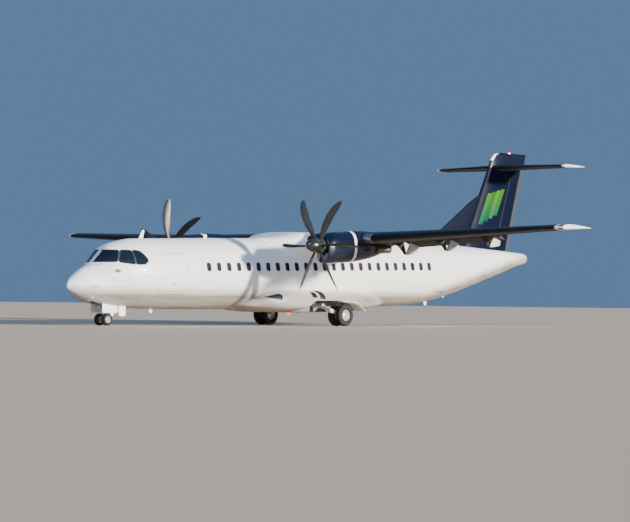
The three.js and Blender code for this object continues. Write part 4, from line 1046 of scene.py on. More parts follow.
def rudderBlock(inset, finish):  # a block about the hinge line, its ends square to it
    low, high, hinge = tail["rudder"]
    start, end = (chordPoint(tail["fin"], place, (hinge, 0), upright=True) for place in (low, high))
    axis = (end - start).normalized()
    reach, length = tail["rudderReach"], (end - start).length - 2 * inset
    mesh = bmesh.new()
    pin(mesh, 0, length, reach, start + axis * inset, axis, 12)
    return finishMesh("rudderBlock", mesh, finish)


def makeTail():
    print("tail")
    hinge = tail["rudder"][2]
    finFoot, finTop = tail["fin"][0][0], tail["fin"][-1][0]
    skin = "fin boot strip"
    strip = lambda mark, place: 2 if abs(mark) > tail["trailingStrip"] else 0
    finPiece = surfaceSkin("finSkin", tail["fin"], spaced(finFoot, finTop, 0.25), skin, upright=True,
        pick=strip)
    bay = surfaceSkin("bay", tail["fin"], [finFoot, finTop], "inside",
        outline=hingedBay(hinge, 0, tail["clearance"]), upright=True)
    combine(finPiece, combine(bay, rudderBlock(0, "inside"), "INTERSECT"), "DIFFERENCE")
    mesh = bmesh.new()
    edge, half, reach, root = tail["dorsal"], tail["dorsalHalf"], tail["dorsalRound"], tail["dorsalRoot"]
    profile = [(0.0, -half), (0.55, -half), (0.8, -half * 0.8), (0.95, -half * 0.35), (1.0, 0),
        (0.95, half * 0.35), (0.8, half * 0.8), (0.55, half), (0.0, half)]
    rings = []
    for k in range(33):
        t = k / 32 * (len(edge) - 1)
        i = min(int(t), len(edge) - 2)
        station, top = (a + (b - a) * (t - i) for a, b in zip(edge[i], edge[i + 1]))
        rings.append([at(station, y, root if share == 0 else top - (1 - share) * reach) for share,
            y in profile])
    for k, face in enumerate(loftRings(mesh, rings)[:-2]):
        face.material_index = 1 if k % len(profile) in (2, 3, 4, 5) else 0
    # the dorsal's grey-blue is partly a painted sky reflection
    dorsal = finishMesh("dorsalFairing", mesh, "dorsal boot", smoothAngle=40)
    combine(finPiece, dorsal, "UNION")
    shadeByAngle(finPiece, 30)
    ridesOn(finPiece, "airframe", "navy_composite", "fin")
    rudder = surfaceSkin("rudderSkin", tail["fin"], spaced(finFoot, finTop, 0.3), skin,
        outline=hingedOutline(hinge, 0), upright=True, pick=strip)
    combine(rudder, rudderBlock(tail["clearance"], "fin"), "INTERSECT")
    shadeByAngle(rudder, 30)
    ridesOn(rudder, "rudder", "navy_composite", "rudder")

    start, end, hinge = tail["elevator"]
    skin = "navy boot under white"

    def pick(mark, place):
        if abs(place) > tail["planeTip"]:
            return 3
        return 1 if -tail["bootLower"] < mark < tail["bootUpper"] else (0 if mark > 0 else 2)

    _, tipStart, tipEnd = (row[0] for row in tail["plane"])
    places = spaced(0, tipStart, 0.3) + [tail["planeTip"], *tipPlaces(tail["plane"]), tipEnd]
    plane = surfaceSkin("tailplaneSkin", tail["plane"], sorted({*places, *(-p for p in places)}), skin,
        pick=pick)
    for side in (1, -1):
        bay = surfaceSkin("bay", tail["plane"], [start, end], "inside",
            outline=hingedBay(hinge, 0, tail["clearance"]))
        combine(plane, flipped(bay) if side < 0 else bay, "DIFFERENCE")
    shadeByAngle(plane, 30)
    ridesOn(plane, "airframe", "navy_composite", "tailplane")
    elevator = surfaceSkin("elevatorSkinRight", tail["plane"], spaced(start + tail["clearance"],
        end - tail["clearance"], 0.4), "navy under", outline=hingedOutline(hinge, 0), pick=lambda mark,
        place: 0 if mark > 0 else 1)
    ridePair(elevator, "navy_composite", "elevator", moving=True)
    low, high, reach = tail["whitePatch"]
    capPiece = surfaceSkin("finCapSkin", tail["cap"], tail["capPlaces"], "navy white", upright=True,
        pick=lambda mark, place: 1 if abs(mark) < reach and low < place < high else 0)
    ridesOn(capPiece, "airframe", "navy_composite", "fin_cap")


def at(station, y, z):
    return Vector((station - halfLength, y, z))


def curved(points, steps=6):  # a smooth line through points
    points = [Vector(p) for p in points]
    line = []
    for i in range(len(points) - 1):
        a, b, c, d = (points[max(0, min(len(points) - 1, i + k))] for k in (-1, 0, 1, 2))
        for k in range(steps):
            t = k / steps
            line.append((b * 2 + (c - a) * t + (a * 2 - b * 5 + c * 4 - d) * t**2 + (b * 3 - a - c * 3 + d)
                * t**3) / 2)
    return line + [points[-1]]


def lathe(mesh, profile, centre, axis, sides=48, slots=None, slot=0):  # rows: along the axis, radius
    axis = Vector(axis).normalized()
    across = axis.orthogonal().normalized()
    other = axis.cross(across)
    rings = [[Vector(centre) + axis * along + (across * cos(2 * pi * k / sides) + other
        * sin(2 * pi * k / sides)) * radius for k in range(sides)] for along, radius in profile]
    for k, face in enumerate(loftRings(mesh, rings, capped=False, slot=slot)):
        if slots:
            face.material_index = slots[k // sides]


def pin(mesh, low, high, radius, centre, axis, sides, slot=0):  # a plain closed cylinder
    rows = [(low, 0), (low, radius), (high, radius), (high, 0)]
    lathe(mesh, rows, centre, axis, sides, slot=slot)


def seamRings(mesh, table, stations, radius, **shape):  # grooves round a body
    for station in stations:
        tubeAlong(mesh, bodyRing(table, station, 120, grow=0.001, **shape), radius, 6, closed=True)


def boxBetween(mesh, start, end, widths, depths, slot=0, up=(0, 1, 0), corner=3.5, sides=16):
    # a forging between two points: rows of half width along "up" and half depth across it
    start, end = Vector(start), Vector(end)
    along = (end - start).normalized()
    wide = (Vector(up) - along * Vector(up).dot(along)).normalized()
    deep = along.cross(wide)
    rings = []
    for i, (half, thick) in enumerate(zip(widths, depths)):
        middle = start.lerp(end, i / (len(widths) - 1))
        rings.append([middle + wide * half * bulged(cos(2 * pi * (k + 0.5) / sides), corner) + deep * thick
            * bulged(sin(2 * pi * (k + 0.5) / sides), corner) for k in range(sides)])
    loftRings(mesh, rings, slot=slot)


def slab(mesh, outline, fromY, toY, slot=0, edge=0.004):  # a plate with eased edges
    inner = grownOutline(outline, -edge)
    ring = lambda points, y: [at(s, y, z) for s, z in points]
    step = edge if toY > fromY else -edge
    loftRings(mesh, [ring(inner, fromY), ring(outline, fromY + step), ring(outline, toY - step),
        ring(inner, toY)], slot=slot)


class Nodes:  # one Geometry Nodes tree, which ends in realized copies with one finish
    def __init__(self, name, inputs):
        self.tree = bpy.data.node_groups.new(name, "GeometryNodeTree")
        for label, kind, value in inputs:
            socket = self.tree.interface.new_socket(label, in_out="INPUT", socket_type="NodeSocket" + kind)
            if value is not None:
                socket.default_value = value
        self.tree.interface.new_socket("Geometry", in_out="OUTPUT", socket_type="NodeSocketGeometry")
        self.given = self.tree.nodes.new("NodeGroupInput")

    def node(self, kind, settings=None, **values):
        made = self.tree.nodes.new(kind)
        for name, value in (settings or {}).items():
            setattr(made, name, value)
        for key, value in values.items():
            socket = made.inputs[key.replace("_", " ")]
            if isinstance(value, bpy.types.NodeSocket):
                self.tree.links.new(value, socket)
            else:
                socket.default_value = value
        return made.outputs[0]

    def attribute(self, name):
        return self.node("GeometryNodeInputNamedAttribute", {"data_type": "FLOAT_VECTOR"}, Name=name)

    def finish(self, geometry):
        real = self.node("GeometryNodeRealizeInstances", Geometry=geometry)
        dressed = self.node("GeometryNodeSetMaterial", Geometry=real, Material=self.given.outputs["Finish"])
        self.tree.links.new(dressed, self.tree.nodes.new("NodeGroupOutput").inputs[0])
        return self.tree


def makeCopyTree():  # puts one piece on every point, facing as the point says
    nodes = Nodes("placedCopies", (("Geometry", "Geometry", None), ("Piece", "Object", None),
        ("Finish", "Material", None), ("Size", "Float", 1.0), ("Variation", "Float", 0.0),
        ("Seed", "Int", 7)))
    given = nodes.given.outputs
    piece = nodes.tree.nodes.new("GeometryNodeObjectInfo")
    nodes.tree.links.new(given["Piece"], piece.inputs["Object"])
    turn = nodes.node("FunctionNodeAxesToRotation", {"primary_axis": "Z", "secondary_axis": "X"},
        Primary_Axis=nodes.attribute("facing"), Secondary_Axis=nodes.attribute("along"))
    least = nodes.node("ShaderNodeMath", {"operation": "SUBTRACT"})
    nodes.tree.links.new(given["Size"], least.node.inputs[0])
    nodes.tree.links.new(given["Variation"], least.node.inputs[1])
    size = nodes.tree.nodes.new("FunctionNodeRandomValue")
    size.data_type = "FLOAT"
    for socket, source in ((2, least), (3, given["Size"]), (8, given["Seed"])):
        nodes.tree.links.new(source, size.inputs[socket])
    copies = nodes.node("GeometryNodeInstanceOnPoints", Points=given["Geometry"],
        Instance=piece.outputs["Geometry"], Rotation=turn, Scale=size.outputs[1])
    return nodes.finish(copies)


def makePipeTree():  # gives every edge path a round section
    nodes = Nodes("roundedPipes", (("Geometry", "Geometry", None), ("Finish", "Material", None),
        ("Radius", "Float", 0.01), ("Sides", "Int", 10)))
    given = nodes.given.outputs
    path = nodes.node("GeometryNodeMeshToCurve", Mesh=given["Geometry"])
    ring = nodes.node("GeometryNodeCurvePrimitiveCircle", Resolution=given["Sides"], Radius=given["Radius"])
    pipe = nodes.node("GeometryNodeCurveToMesh", Curve=path, Profile_Curve=ring, Fill_Caps=True)
    return nodes.finish(pipe)


def grown(name, mesh, tree, values):  # runs a tree on a mesh and keeps only the plain result
    source = finishMesh(name, mesh, "", weld=0, outward=False)
    change = source.modifiers.new("tree", "NODES")
    change.node_group = tree
    for item in tree.interface.items_tree:
        if item.in_out == "INPUT" and item.name in values:
            change[item.identifier] = values[item.name]
    bpy.context.view_layer.update()
    data = bpy.data.meshes.new_from_object(source.evaluated_get(bpy.context.evaluated_depsgraph_get()))
    source.modifiers.remove(change)
    bare = source.data
    source.data = data
    data.name = name
    bpy.data.meshes.remove(bare)
    for attribute in [a.name for a in data.attributes if a.name in ("facing", "along")]:
        data.attributes.remove(data.attributes[attribute])
    shadeByAngle(source, 35)
    return source


def copiesOn(name, places, piece, finish, size=1.0, variation=0.0):  # places: point, facing, along
    mesh = bmesh.new()
    facing, along = (mesh.verts.layers.float_vector.new(key) for key in ("facing", "along"))
    for point, normal, direction in places:
        vertex = mesh.verts.new(point)
        vertex[facing], vertex[along] = normal, direction
    values = {"Piece": piece, "Finish": finishes[finish], "Size": size, "Variation": variation}
    result = grown(name, mesh, trees["copies"], values)
    bpy.data.objects.remove(piece)
    return result


def pipes(name, paths, radius, finish, sides=10):
    mesh = bmesh.new()
    for path in paths:
        row = [mesh.verts.new(p) for p in path]
        for a, b in zip(row, row[1:]):
            mesh.edges.new((a, b))
    return grown(name, mesh, trees["pipes"], {"Finish": finishes[finish], "Radius": radius, "Sides": sides})


def screwHead(radius, height, sides=10):  # a low dome at the origin, facing up Z
    mesh = bmesh.new()
    lathe(mesh, [(-height, 0), (-height, radius), (height * 0.2, radius), (height * 0.8, radius * 0.72),
        (height, 0)], (0, 0, 0), (0, 0, 1), sides)
    return finishMesh("screwHead", mesh, "")


def hexBolt(radius, height):
    mesh = bmesh.new()
    lathe(mesh, [(-height, 0), (-height, radius * 1.35), (height * 0.25, radius * 1.35),
        (height * 0.3, radius * 1.15)], (0, 0, 0), (0, 0, 1), 12)
    lathe(mesh, [(0, 0), (0, radius), (height * 0.85, radius), (height, radius * 0.8), (height, 0)],
        (0, 0, 0), (0, 0, 1), 6)
    return finishMesh("hexBolt", mesh, "")


def around(centre, axis, radius, count, start=0.0):  # places on a circle, all facing along its axis
    axis = Vector(axis).normalized()
    across = axis.orthogonal().normalized()
    other = axis.cross(across)
    for k in range(count):
        a = 2 * pi * k / count + start
        spoke = across * cos(a) + other * sin(a)
        yield Vector(centre) + spoke * radius, axis, spoke


fairings = {
    "wingTable": [(9.6, 3.3, 3.43, 0.3), (10.0, 3.14, 3.47, 0.76), (10.5, 2.92, 3.56, 1.13),
                  (10.9, 2.72, 3.67, 1.38), (11.2, 2.62, 3.71, 1.45), (13.0, 2.61, 3.715, 1.46),
                  (14.3, 2.7, 3.66, 1.39), (15.6, 2.87, 3.59, 1.18), (16.7, 3.08, 3.55, 0.76)],
    "bellyTable": [(7.9, 0.735, 0.93, 0.64), (8.3, 0.69, 1.02, 1.06), (8.8, 0.63, 1.2, 1.46),
                   (9.4, 0.56, 1.38, 1.72), (9.9, 0.53, 1.44, 1.8), (12.5, 0.53, 1.46, 1.83),
                   (14.2, 0.56, 1.44, 1.79), (15.4, 0.7, 1.3, 1.48), (16.3, 0.81, 1.15, 1.01),
                   (16.75, 0.88, 1.08, 0.62)],
    "wingPower": 3.5, "bellyPower": 3.2,
    "well": [(10.63, 0.3), (14.13, 0.3), (14.13, 0.59), (13.65, 0.93), (12.7, 1.01), (11.4, 1.0),
             (10.63, 0.54)],
    "wellInboard": 1.15,
    "inlet": [(8.86, 1.12), (9.48, 1.0), (9.56, 1.03), (9.56, 1.23), (9.48, 1.255)],
    "vents": [(11.19, 1.11, 11.47, 1.33), (11.62, 1.05, 11.93, 1.4)], "ventDepth": 0.06,
    "jackPad": (11.5, 0.7, 0.505, 0.06), "beacon": (11.75, 0.41, 0.53, 0.075, 0.045),
    "seams": {"wing": (11.05, 13.7), "belly": (9.8, 14.45)}, "seamRadius": 0.005,
    "drains": [(8.6, 0.0, 0.56), (9.3, 0.35, 0.585), (13.9, -0.3, 0.585), (15.1, 0.0, 0.56)],
}


def makeFairings():
    print("fairings")
    ride = {}
    for key, table, power in (("wing", fairings["wingTable"], fairings["wingPower"]),
            ("belly", fairings["bellyTable"], fairings["bellyPower"])):
        mesh = bmesh.new()
        stations = spaced(table[0][0], table[-1][0], 0.14)
        loftRings(mesh, [bodyRing(table, s, 72, power=power) for s in stations])
        ride[key] = finishMesh(key + "Fairing", mesh, "whitePlain" if key == "wing" else "white")
    belly = ride["belly"]
    mesh = bmesh.new()
    table = fairings["bellyTable"]
    loftRings(mesh, [bodyRing(table, s, 72, power=fairings["bellyPower"], grow=-fairings["ventDepth"])
        for s in spaced(table[0][0] + 0.1, table[-1][0] - 0.1, 0.14)])
    core = finishMesh("core", mesh, "")
    for side in (1, -1):
        well = prism("well", roundedOutline(fairings["well"], 0.12), side * fairings["wellInboard"],
            side * 2.3, "inside")
        combine(belly, well, "DIFFERENCE")
        vents = [rectangle(vent, 0.05) for vent in fairings["vents"]]
        for outline in vents + [roundedOutline(fairings["inlet"], 0.03)]:
            vent = prism("vent", outline, side * 1.0, side * 2.3, "seal")
            combine(belly, combine(vent, core, "DIFFERENCE", True), "DIFFERENCE")
    bpy.data.objects.remove(core)
    for key, piece in ride.items():
        grooves = bmesh.new()
        seamRings(grooves, fairings[key + "Table"], fairings["seams"][key], fairings["seamRadius"],
            power=fairings[key + "Power"])
        combine(piece, finishMesh("grooves", grooves, "seal"), "DIFFERENCE")
        shadeByAngle(piece, 28)
        ridesOn(piece, "airframe", "white_paint", key + "_fairing")

    mesh = bmesh.new()
    station, offset, height, radius = fairings["jackPad"]
    for side in (1, -1):
        lathe(mesh, [(0, 0), (0, radius * 0.3), (0.012, radius * 0.36), (0.012, radius * 0.5),
            (0, radius * 0.62), (0, radius * 0.94), (0.006, radius), (0.12, radius), (0.12, 0)],
            at(station, side * offset, height), (0, 0, 1), 40)
    for s, y, tip in fairings["drains"]:
        boxBetween(mesh, at(s, y, 0.66), at(s + 0.03, y, tip), [0.008, 0.006], [0.04, 0.026])
    fit("jackingPads", mesh, "steel", "airframe", "gear_steel")

    station, low, high, wide, narrow = fairings["beacon"]
    mesh = bmesh.new()
    lathe(mesh, [(0.004, 0), (0.004, wide * 1.25), (-0.012, wide * 1.25), (-0.02, wide * 1.02), (-0.02, 0)],
        at(station, 0, high), (0, 0, 1), 40)
    fit("beaconBase", mesh, "bare", "airframe", "gear_steel")
    mesh = bmesh.new()
    lathe(mesh, curvedPairs([(low - high, 0), (low - high + 0.004, narrow * 0.55),
        (low - high + 0.02, narrow * 0.92), (-0.06, wide * 0.84), (-0.018, wide * 0.95)]) + [(-0.018, 0)],
        at(station, 0, high), (0, 0, 1), 40)
    fit("beaconLens", mesh, "redLens", "airframe", "beacon_red", "belly_beacon")


def curvedPairs(pairs, steps=5):
    return [(p.x, max(p.y, 0)) for p in curved(pairs, steps)]


nacelle = {
    "table": [(9.3, 2.43, 3.42, 0.32), (9.6, 2.42, 3.59, 0.41), (10.3, 2.45, 3.645, 0.45),
              (10.95, 2.5, 3.7, 0.46), (11.84, 2.64, 3.7, 0.45), (12.4, 2.8, 3.64, 0.4),
              (12.85, 3.01, 3.56, 0.33), (13.35, 3.17, 3.47, 0.24), (13.85, 3.29, 3.39, 0.08)],
    "power": 2.4, "offset": 4.05, "shaftHeight": 3.09, "stripe": (10.64, 10.78), "intake": (2.62, 0.12),
    "engine": (9.4, 11.0, 0.27, 2.7, 3.29), "seams": (9.62, 10.95, 11.9, 12.9),
    "hinge": (9.7, 10.9), "exhaust": (11.95, 12.52, 0.4, 0.585, 3.0), "exhaustSize": (0.105, 0.15),
    "mouth": [(0, -0.045), (0, -0.022), (0.008, -0.008), (0.022, -0.002)], "seamRadius": 0.0042,
    "louvres": (11.175, 0.075, 5, 2.92, 3.08),
    # station, y and height off the shaft, radius, length: what is bolted to the engine's core
    "accessories": [(9.75, 0.18, -0.2, 0.06, 0.22), (9.95, -0.17, -0.21, 0.06, 0.28),
                    (10.35, 0.14, -0.22, 0.05, 0.35), (10.55, -0.12, 0.21, 0.05, 0.3)],
}


def makeNacelles():
    print("nacelles")
    table, power, offset = nacelle["table"], nacelle["power"], nacelle["offset"]
    first, last = table[0][0], table[-1][0]
    mesh = bmesh.new()
    places = [(first + along, grow) for along, grow in nacelle["mouth"]]
    places += [(s, 0.0) for s in spaced(first + 0.05, last - 0.05, 0.1)] + [(last, -0.03)]
    loftRings(mesh, [bodyRing(table, s, 64, power=power, grow=grow, centreY=offset) for s, grow in places])
    shell = finishMesh("nacelleSkinRight", mesh, "nacelle")
    start, end, half, low, high = nacelle["engine"]
    room = blockPiece("room", at(start - 0.02, offset - half, low), at(end, offset + half, high), "inside")
    combine(shell, room, "DIFFERENCE")
    tool = bmesh.new()
    lathe(tool, [(-0.1, 0), (-0.1, 0.292), (0.045, 0.286), (0.06, 0.27), (0.06, 0.13), (0.2, 0.13),
        (0.2, 0)], at(first, offset, nacelle["shaftHeight"]), (1, 0, 0), 48)
    height, radius = nacelle["intake"]
    lathe(tool, [(-0.1, 0), (-0.1, radius * 1.15), (0.0, radius * 1.06), (0.03, radius),
        (0.085, radius * 0.9), (0.085, 0)], at(first, offset, height), (1, 0, 0.1), 40)
    combine(shell, finishMesh("mouths", tool, "seal"), "DIFFERENCE")
    grooves = bmesh.new()
    seamRings(grooves, table, nacelle["seams"], nacelle["seamRadius"], power=power, centreY=offset)
    for side in (1, -1):  # cowl doors open along the lower third
        path = []
        for s in spaced(*nacelle["hinge"], 0.08):
            middle, tall, wide = sizesAt(table, s)
            path.append(at(s, offset + side * wide * bulged(cos(-0.5), power),
                middle + tall * bulged(sin(-0.5), power)))
        tubeAlong(grooves, path, nacelle["seamRadius"], 6)
    combine(shell, finishMesh("grooves", grooves, "seal"), "DIFFERENCE")
    shadeByAngle(shell, 28)
    ridePair(shell, "navy_paint", "nacelle")
    nacelleFittings()
    for side, name in bothSides:
        makeEngine(side, name)


def nacelleFittings():
    table, offset = nacelle["table"], nacelle["offset"]
    height, radius = nacelle["intake"]
    mesh = bmesh.new()
    lip = [(0.03 + 0.022 * cos(a), radius * 1.08 + 0.016 * sin(a))
        for a in (2 * pi * k / 16 for k in range(17))]
    lathe(mesh, lip, at(table[0][0] - 0.035, offset, height), (1, 0, 0.1), 56)
    ridePair(finishMesh("intakeLipRight", mesh, "bare"), "gear_steel")
    mesh = bmesh.new()
    first, pitch, count, low, high = nacelle["louvres"]
    for k in range(count):
        s = first + pitch * k
        y = offset + smoothValue(table, s, 3) * 0.985
        boxBetween(mesh, at(s, y, low), at(s + 0.02, y, high), [0.012, 0.012], [0.016, 0.016], sides=12)
    ridePair(finishMesh("nacelleLouvresRight", mesh, "navy"), "navy_paint")

    start, end, inY, outY, z = nacelle["exhaust"]
    wide, tall = nacelle["exhaustSize"]
    mesh = bmesh.new()
    rings = []
    for inset, shares in ((0, (0, 0.35, 0.7, 0.97, 1.0)), (0.01, (1.0, 0.97, 0.7, 0.45))):
        for t in shares:
            centre = at(start + (end - start) * t, offset + inY + (outY - inY) * t, z + 0.02 * t)
            grow = -inset - (0.004 if t == 1.0 else 0)
            rings.append([centre + Vector((0.15 * wide * cos(a), (wide + grow) * cos(a),
                (tall + grow) * sin(a))) for a in (2 * pi * k / 40 for k in range(40))])
    loftRings(mesh, rings)
    ridePair(finishMesh("exhaustRight", mesh, "hot"), "engine_metal", "exhaust")


def makeEngine(side, name):
    start, end, half, low, high = nacelle["engine"]
    offset, z = side * nacelle["offset"], (low + high) / 2
    mesh = bmesh.new()
    lathe(mesh, [(0.0, 0), (0.0, 0.16), (0.05, 0.23), (0.12, 0.25), (0.3, 0.26), (0.34, 0.22), (0.42, 0.2),
        (0.52, 0.23), (0.58, 0.25), (0.62, 0.22), (1.05, 0.19), (1.1, 0.23), (1.3, 0.24), (1.34, 0.2),
        (1.55, 0.16), (1.59, 0.1), (1.59, 0)], at(start + 0.005, offset, z), (1, 0, 0), 40)
    for s, y, h, r, long in nacelle["accessories"]:
        lathe(mesh, [(0, 0), (0, r * 0.8), (0.015, r), (long * 0.6, r), (long * 0.65, r * 0.7),
            (long, r * 0.7), (long, 0)], at(s, offset + y, z + h), (1, 0, 0), 20)
    core = finishMesh("engineCore" + name, mesh, "bare")
    ridesOn(core, "airframe", "engine_metal", "engine_" + name)
    reach = half - 0.02
    ducts = [curved([at(9.8, offset + reach, z), at(10.1, offset + reach, z + 0.06),
        at(10.5, offset + reach, z - 0.02), at(10.9, offset + 0.2, z - 0.1)]),
        curved([at(9.7, offset - reach, z + 0.1), at(10.2, offset - reach, z - 0.04),
        at(10.7, offset - reach, z + 0.06)])]
    ridesOn(pipes("enginePipes" + name, ducts, 0.014, "chrome"), "airframe", "engine_metal")


propeller = {
    "station": 9.05, "count": 6, "hubRadius": 0.285, "hubHalf": 0.17, "spinnerLength": 0.48,
    "shaftRadius": 0.095, "shaftEnd": 9.3997, "angles": {"left": 30, "right": -9},
    # radius, chord, thickness, pitch from the disc, sweep
    "table": [(0.23, 0.12, 0.09, 78, 0.0), (0.42, 0.19, 0.062, 76, 0.02), (0.8, 0.3, 0.04, 72, 0.045),
              (1.25, 0.33, 0.026, 68, 0.03), (1.65, 0.29, 0.018, 65, -0.04), (1.88, 0.19, 0.012, 63, -0.11),
              (1.965, 0.08, 0.008, 62, -0.15)],
    "tipStart": 1.8, "bootEnd": 1.15,
}


def bladeRings(radii):
    rings = []
    for radius in radii:
        chord, thick, pitch, sweep = (smoothValue(propeller["table"], radius, column) for column in (1, 2,
            3, 4))
        turn = radians(pitch)
        blend = max(0.0, min(1.0, (radius - 0.26) / 0.22))  # a round shank becomes a blade section
        ring = []
        foil = aerofoilOutline(thick / chord, 0.035, chord, rows=12, edge=0.001)[:-1]
        count = len(foil)
        for k, (u, v, _) in enumerate(foil):
            angle = 2 * pi * k / count
            across = (0.5 - u) * chord * blend - 0.5 * chord * cos(angle) * (1 - blend)
            through = v * chord * blend + 0.5 * thick * sin(angle) * (1 - blend)
            across, through = across + sweep, -through
            ring.append(Vector((-across * sin(turn) + through * cos(turn), across * cos(turn) + through
                * sin(turn), radius)))
        rings.append(ring)
    return rings


def makePropellers():
    print("propellers")
    radii = spaced(0.23, 0.5, 0.03) + spaced(0.5, 1.8, 0.065)[1:]
    radii += spaced(1.8, 1.93, 0.022)[1:] + [1.945, 1.957, 1.9645]
    blade = bmesh.new()
    faces = loftRings(blade, bladeRings(radii))
    count = len(bladeRings([1.0])[0])
    for k, face in enumerate(faces[:count * (len(radii) - 1)]):
        middle = (radii[k // count] + radii[k // count + 1]) / 2
        booted = abs(k % count - (count - 1) / 2) < 3.2 and 0.45 < middle < propeller["bootEnd"]
        face.material_index = 1 if middle > propeller["tipStart"] else (2 if booted else 0)
    bladePiece = finishMesh("bladeShape", blade, "")
    hubRadius, hubHalf, noseLength = (propeller[key] for key in ("hubRadius", "hubHalf", "spinnerLength"))
    for side, name in bothSides:
        centre = at(propeller["station"], side * nacelle["offset"], nacelle["shaftHeight"])
        first = propeller["angles"][name]
        hub = bmesh.new()
        end = propeller["shaftEnd"] - propeller["station"]
        lathe(hub, [(-hubHalf + 0.002, 0), (-hubHalf + 0.002, hubRadius - 0.014), (0, hubRadius - 0.005),
            (hubHalf - 0.01, hubRadius - 0.001), (hubHalf, hubRadius - 0.01),
            (hubHalf, propeller["shaftRadius"]), (end, propeller["shaftRadius"]), (end, 0)], centre,
            (1, 0, 0), 72)
        blades = []
        for i in range(propeller["count"]):
            spin = Matrix.Rotation(radians(first + 360 * i / propeller["count"]), 4, "X")
            turn = Matrix.Translation(centre) @ spin
            spoke = turn.to_3x3() @ Vector((0, 0, 1))
            lathe(hub, [(hubRadius - 0.05, 0), (hubRadius - 0.05, 0.088), (hubRadius + 0.004, 0.088),
                (hubRadius + 0.01, 0.08), (hubRadius + 0.01, 0)], centre, spoke, 36, slot=1)
            one = duplicate(bladePiece, "blade", "blade tip boot")
            one.data.transform(turn)
            blades.append(one)
        ridesOn(joined("propellerBlades" + name, blades), "propeller_" + name, "blade_black",
            "propeller_" + name)
        fit("propellerHub" + name, hub, "spinner seal", "propeller_" + name, "blade_black")
        nose = bmesh.new()
        profile = [(-hubHalf - noseLength * sqrt(1 - (r / (hubRadius - 0.012))**1.7), r)
            for r in [(hubRadius - 0.012) * sin(pi / 2 * k / 22) for k in range(23)]]
        profile = [(a if k < 22 else -hubHalf - 0.001, r) for k,
            (a, r) in enumerate(profile)] + [(-hubHalf - 0.001, 0)]
        lathe(nose, profile, centre, (1, 0, 0), 72)
        fit("spinnerShell" + name, nose, "spinner", "propeller_" + name, "blade_black", "spinner_" + name)
        places = list(around(centre + Vector((-hubHalf - 0.025, 0, 0)), (-1, 0, 0), hubRadius - 0.02, 18))
        turned = [(p, (p - centre - Vector((-hubHalf - 0.025, 0, 0))).normalized(), Vector((1, 0, 0)))
            for p, _, _ in places]
        ridesOn(copiesOn("spinnerScrews" + name, turned, screwHead(0.006, 0.002), "bare"),
            "propeller_" + name, "gear_steel")
    bpy.data.objects.remove(bladePiece)


gear = {
    "noseStation": 1.8, "noseRadius": 0.225, "noseRim": 0.118, "noseHalf": 0.095, "noseOffset": 0.2,
    "noseLegBottom": 0.56,
    "mainStation": 12.57, "mainOffset": 2.05, "mainRadius": 0.432, "mainRim": 0.212, "mainHalf": 0.127,
    "mainSpacing": 0.21,
    "pivot": (11.985, 0.61), "trunnion": (11.96, 0.8), "shockLow": (12.17, 0.6),
    "shockHigh": (11.99, 1.5, 0.82),
    "noseDoor": [(1.45, 0.52), (1.5, 0.47), (2.15, 0.466), (2.21, 0.52), (2.21, 0.88), (1.45, 0.88)],
    "noseRearDoor": [(2.26, 0.42), (2.3, 0.356), (2.55, 0.35), (2.61, 0.41), (2.61, 0.88), (2.26, 0.88)],
    "noseDoorInside": 0.306, "noseDoorThickness": 0.022,
    "doorLine": [(12.73, 1.0), (13.1, 0.985), (13.45, 0.955), (13.68, 0.895), (13.88, 0.76),
                 (14.08, 0.618)],
    "doorY": (1.5, 2.04), "noseGrooves": 2, "mainGrooves": 4,
}


def tyrePiece(name, centre, radius, rim, half, grooves, finish):
    inside = rim + 0.0003
    wall = radius - inside
    side = curvedPairs([(-0.62, 0.0), (-0.8, 0.07), (-0.97, 0.28), (-1.0, 0.45), (-0.93, 0.68),
        (-0.78, 0.87), (-0.62, 0.955)], 4)
    crown = [(-0.42, 0.99)]
    width = 0.045
    for k in range(grooves):
        middle = -0.34 + 0.68 * (k + 0.5) / grooves
        crown += [(middle - width, 1.0), (middle - width * 0.8, 0.955), (middle + width * 0.8, 0.955),
            (middle + width, 1.0)]
    crown.append((0.42, 0.99))
    outline = side + crown + [(-a, b) for a, b in reversed(side)]
    mesh = bmesh.new()
    profile = [(a * half, inside + b * wall) for a, b in outline]
    lathe(mesh, profile + [profile[0]], centre, (0, 1, 0), 80)
    return finishMesh(name, mesh, finish, smoothAngle=32)


def wheelMesh(mesh, centre, side, axle, rim, half, offset):
    # side -1 or 1: the wheel's outer face; materials 0 hub paint, 1 bare metal, 2 dark
    rows = [(-0.7, axle, 1), (-0.7, 0.62, 2), (-0.6, 0.66, 0), (-0.52, 0.86, 0), (-0.7, 0.93, 0),
        (-0.7, 1.0, 0), (0.66, 1.0, 0), (0.7, 0.985, 0), (0.7, 0.93, 0), (0.64, 0.9, 0), (0.4, 0.84, 0),
        (0.26, 0.74, 0), (0.22, 0.6, 0), (0.24, 0.52, 0), (0.3, 0.46, 0), (0.34, 0.4, 0), (0.36, 0.34, 1),
        (0.52, 0.32, 1), (0.55, 0.29, 1), (0.57, 0.16, 2), (0.6, 0.13, 1), (0.66, 0.1, 1), (0.68, 0.0, 1)]
    profile = [(side * (offset + a * half), r * rim if r != axle else axle) for a, r, _ in rows]
    profile = [(side * (offset - 0.7 * half), 0.0)] + profile
    lathe(mesh, profile, centre, (0, 1, 0), 64, slots=[1] + [slot for _, _, slot in rows])
    for _, _, spoke in around(centre, (0, 1, 0), 1, 9, 0.2):  # lightening holes as dished pads painted black, a painted shade in place of the openings
        place = Vector(centre) + Vector((0, side * (offset + 0.315 * half), 0)) + spoke * rim * 0.66
        lathe(mesh, [(-0.02 * half, 0), (-0.02 * half, rim * 0.085), (0.1 * half, rim * 0.105),
            (0.1 * half, rim * 0.085), (0.02 * half, rim * 0.07), (0.02 * half, 0)], place, (0, side, 0),
            18, slot=2)


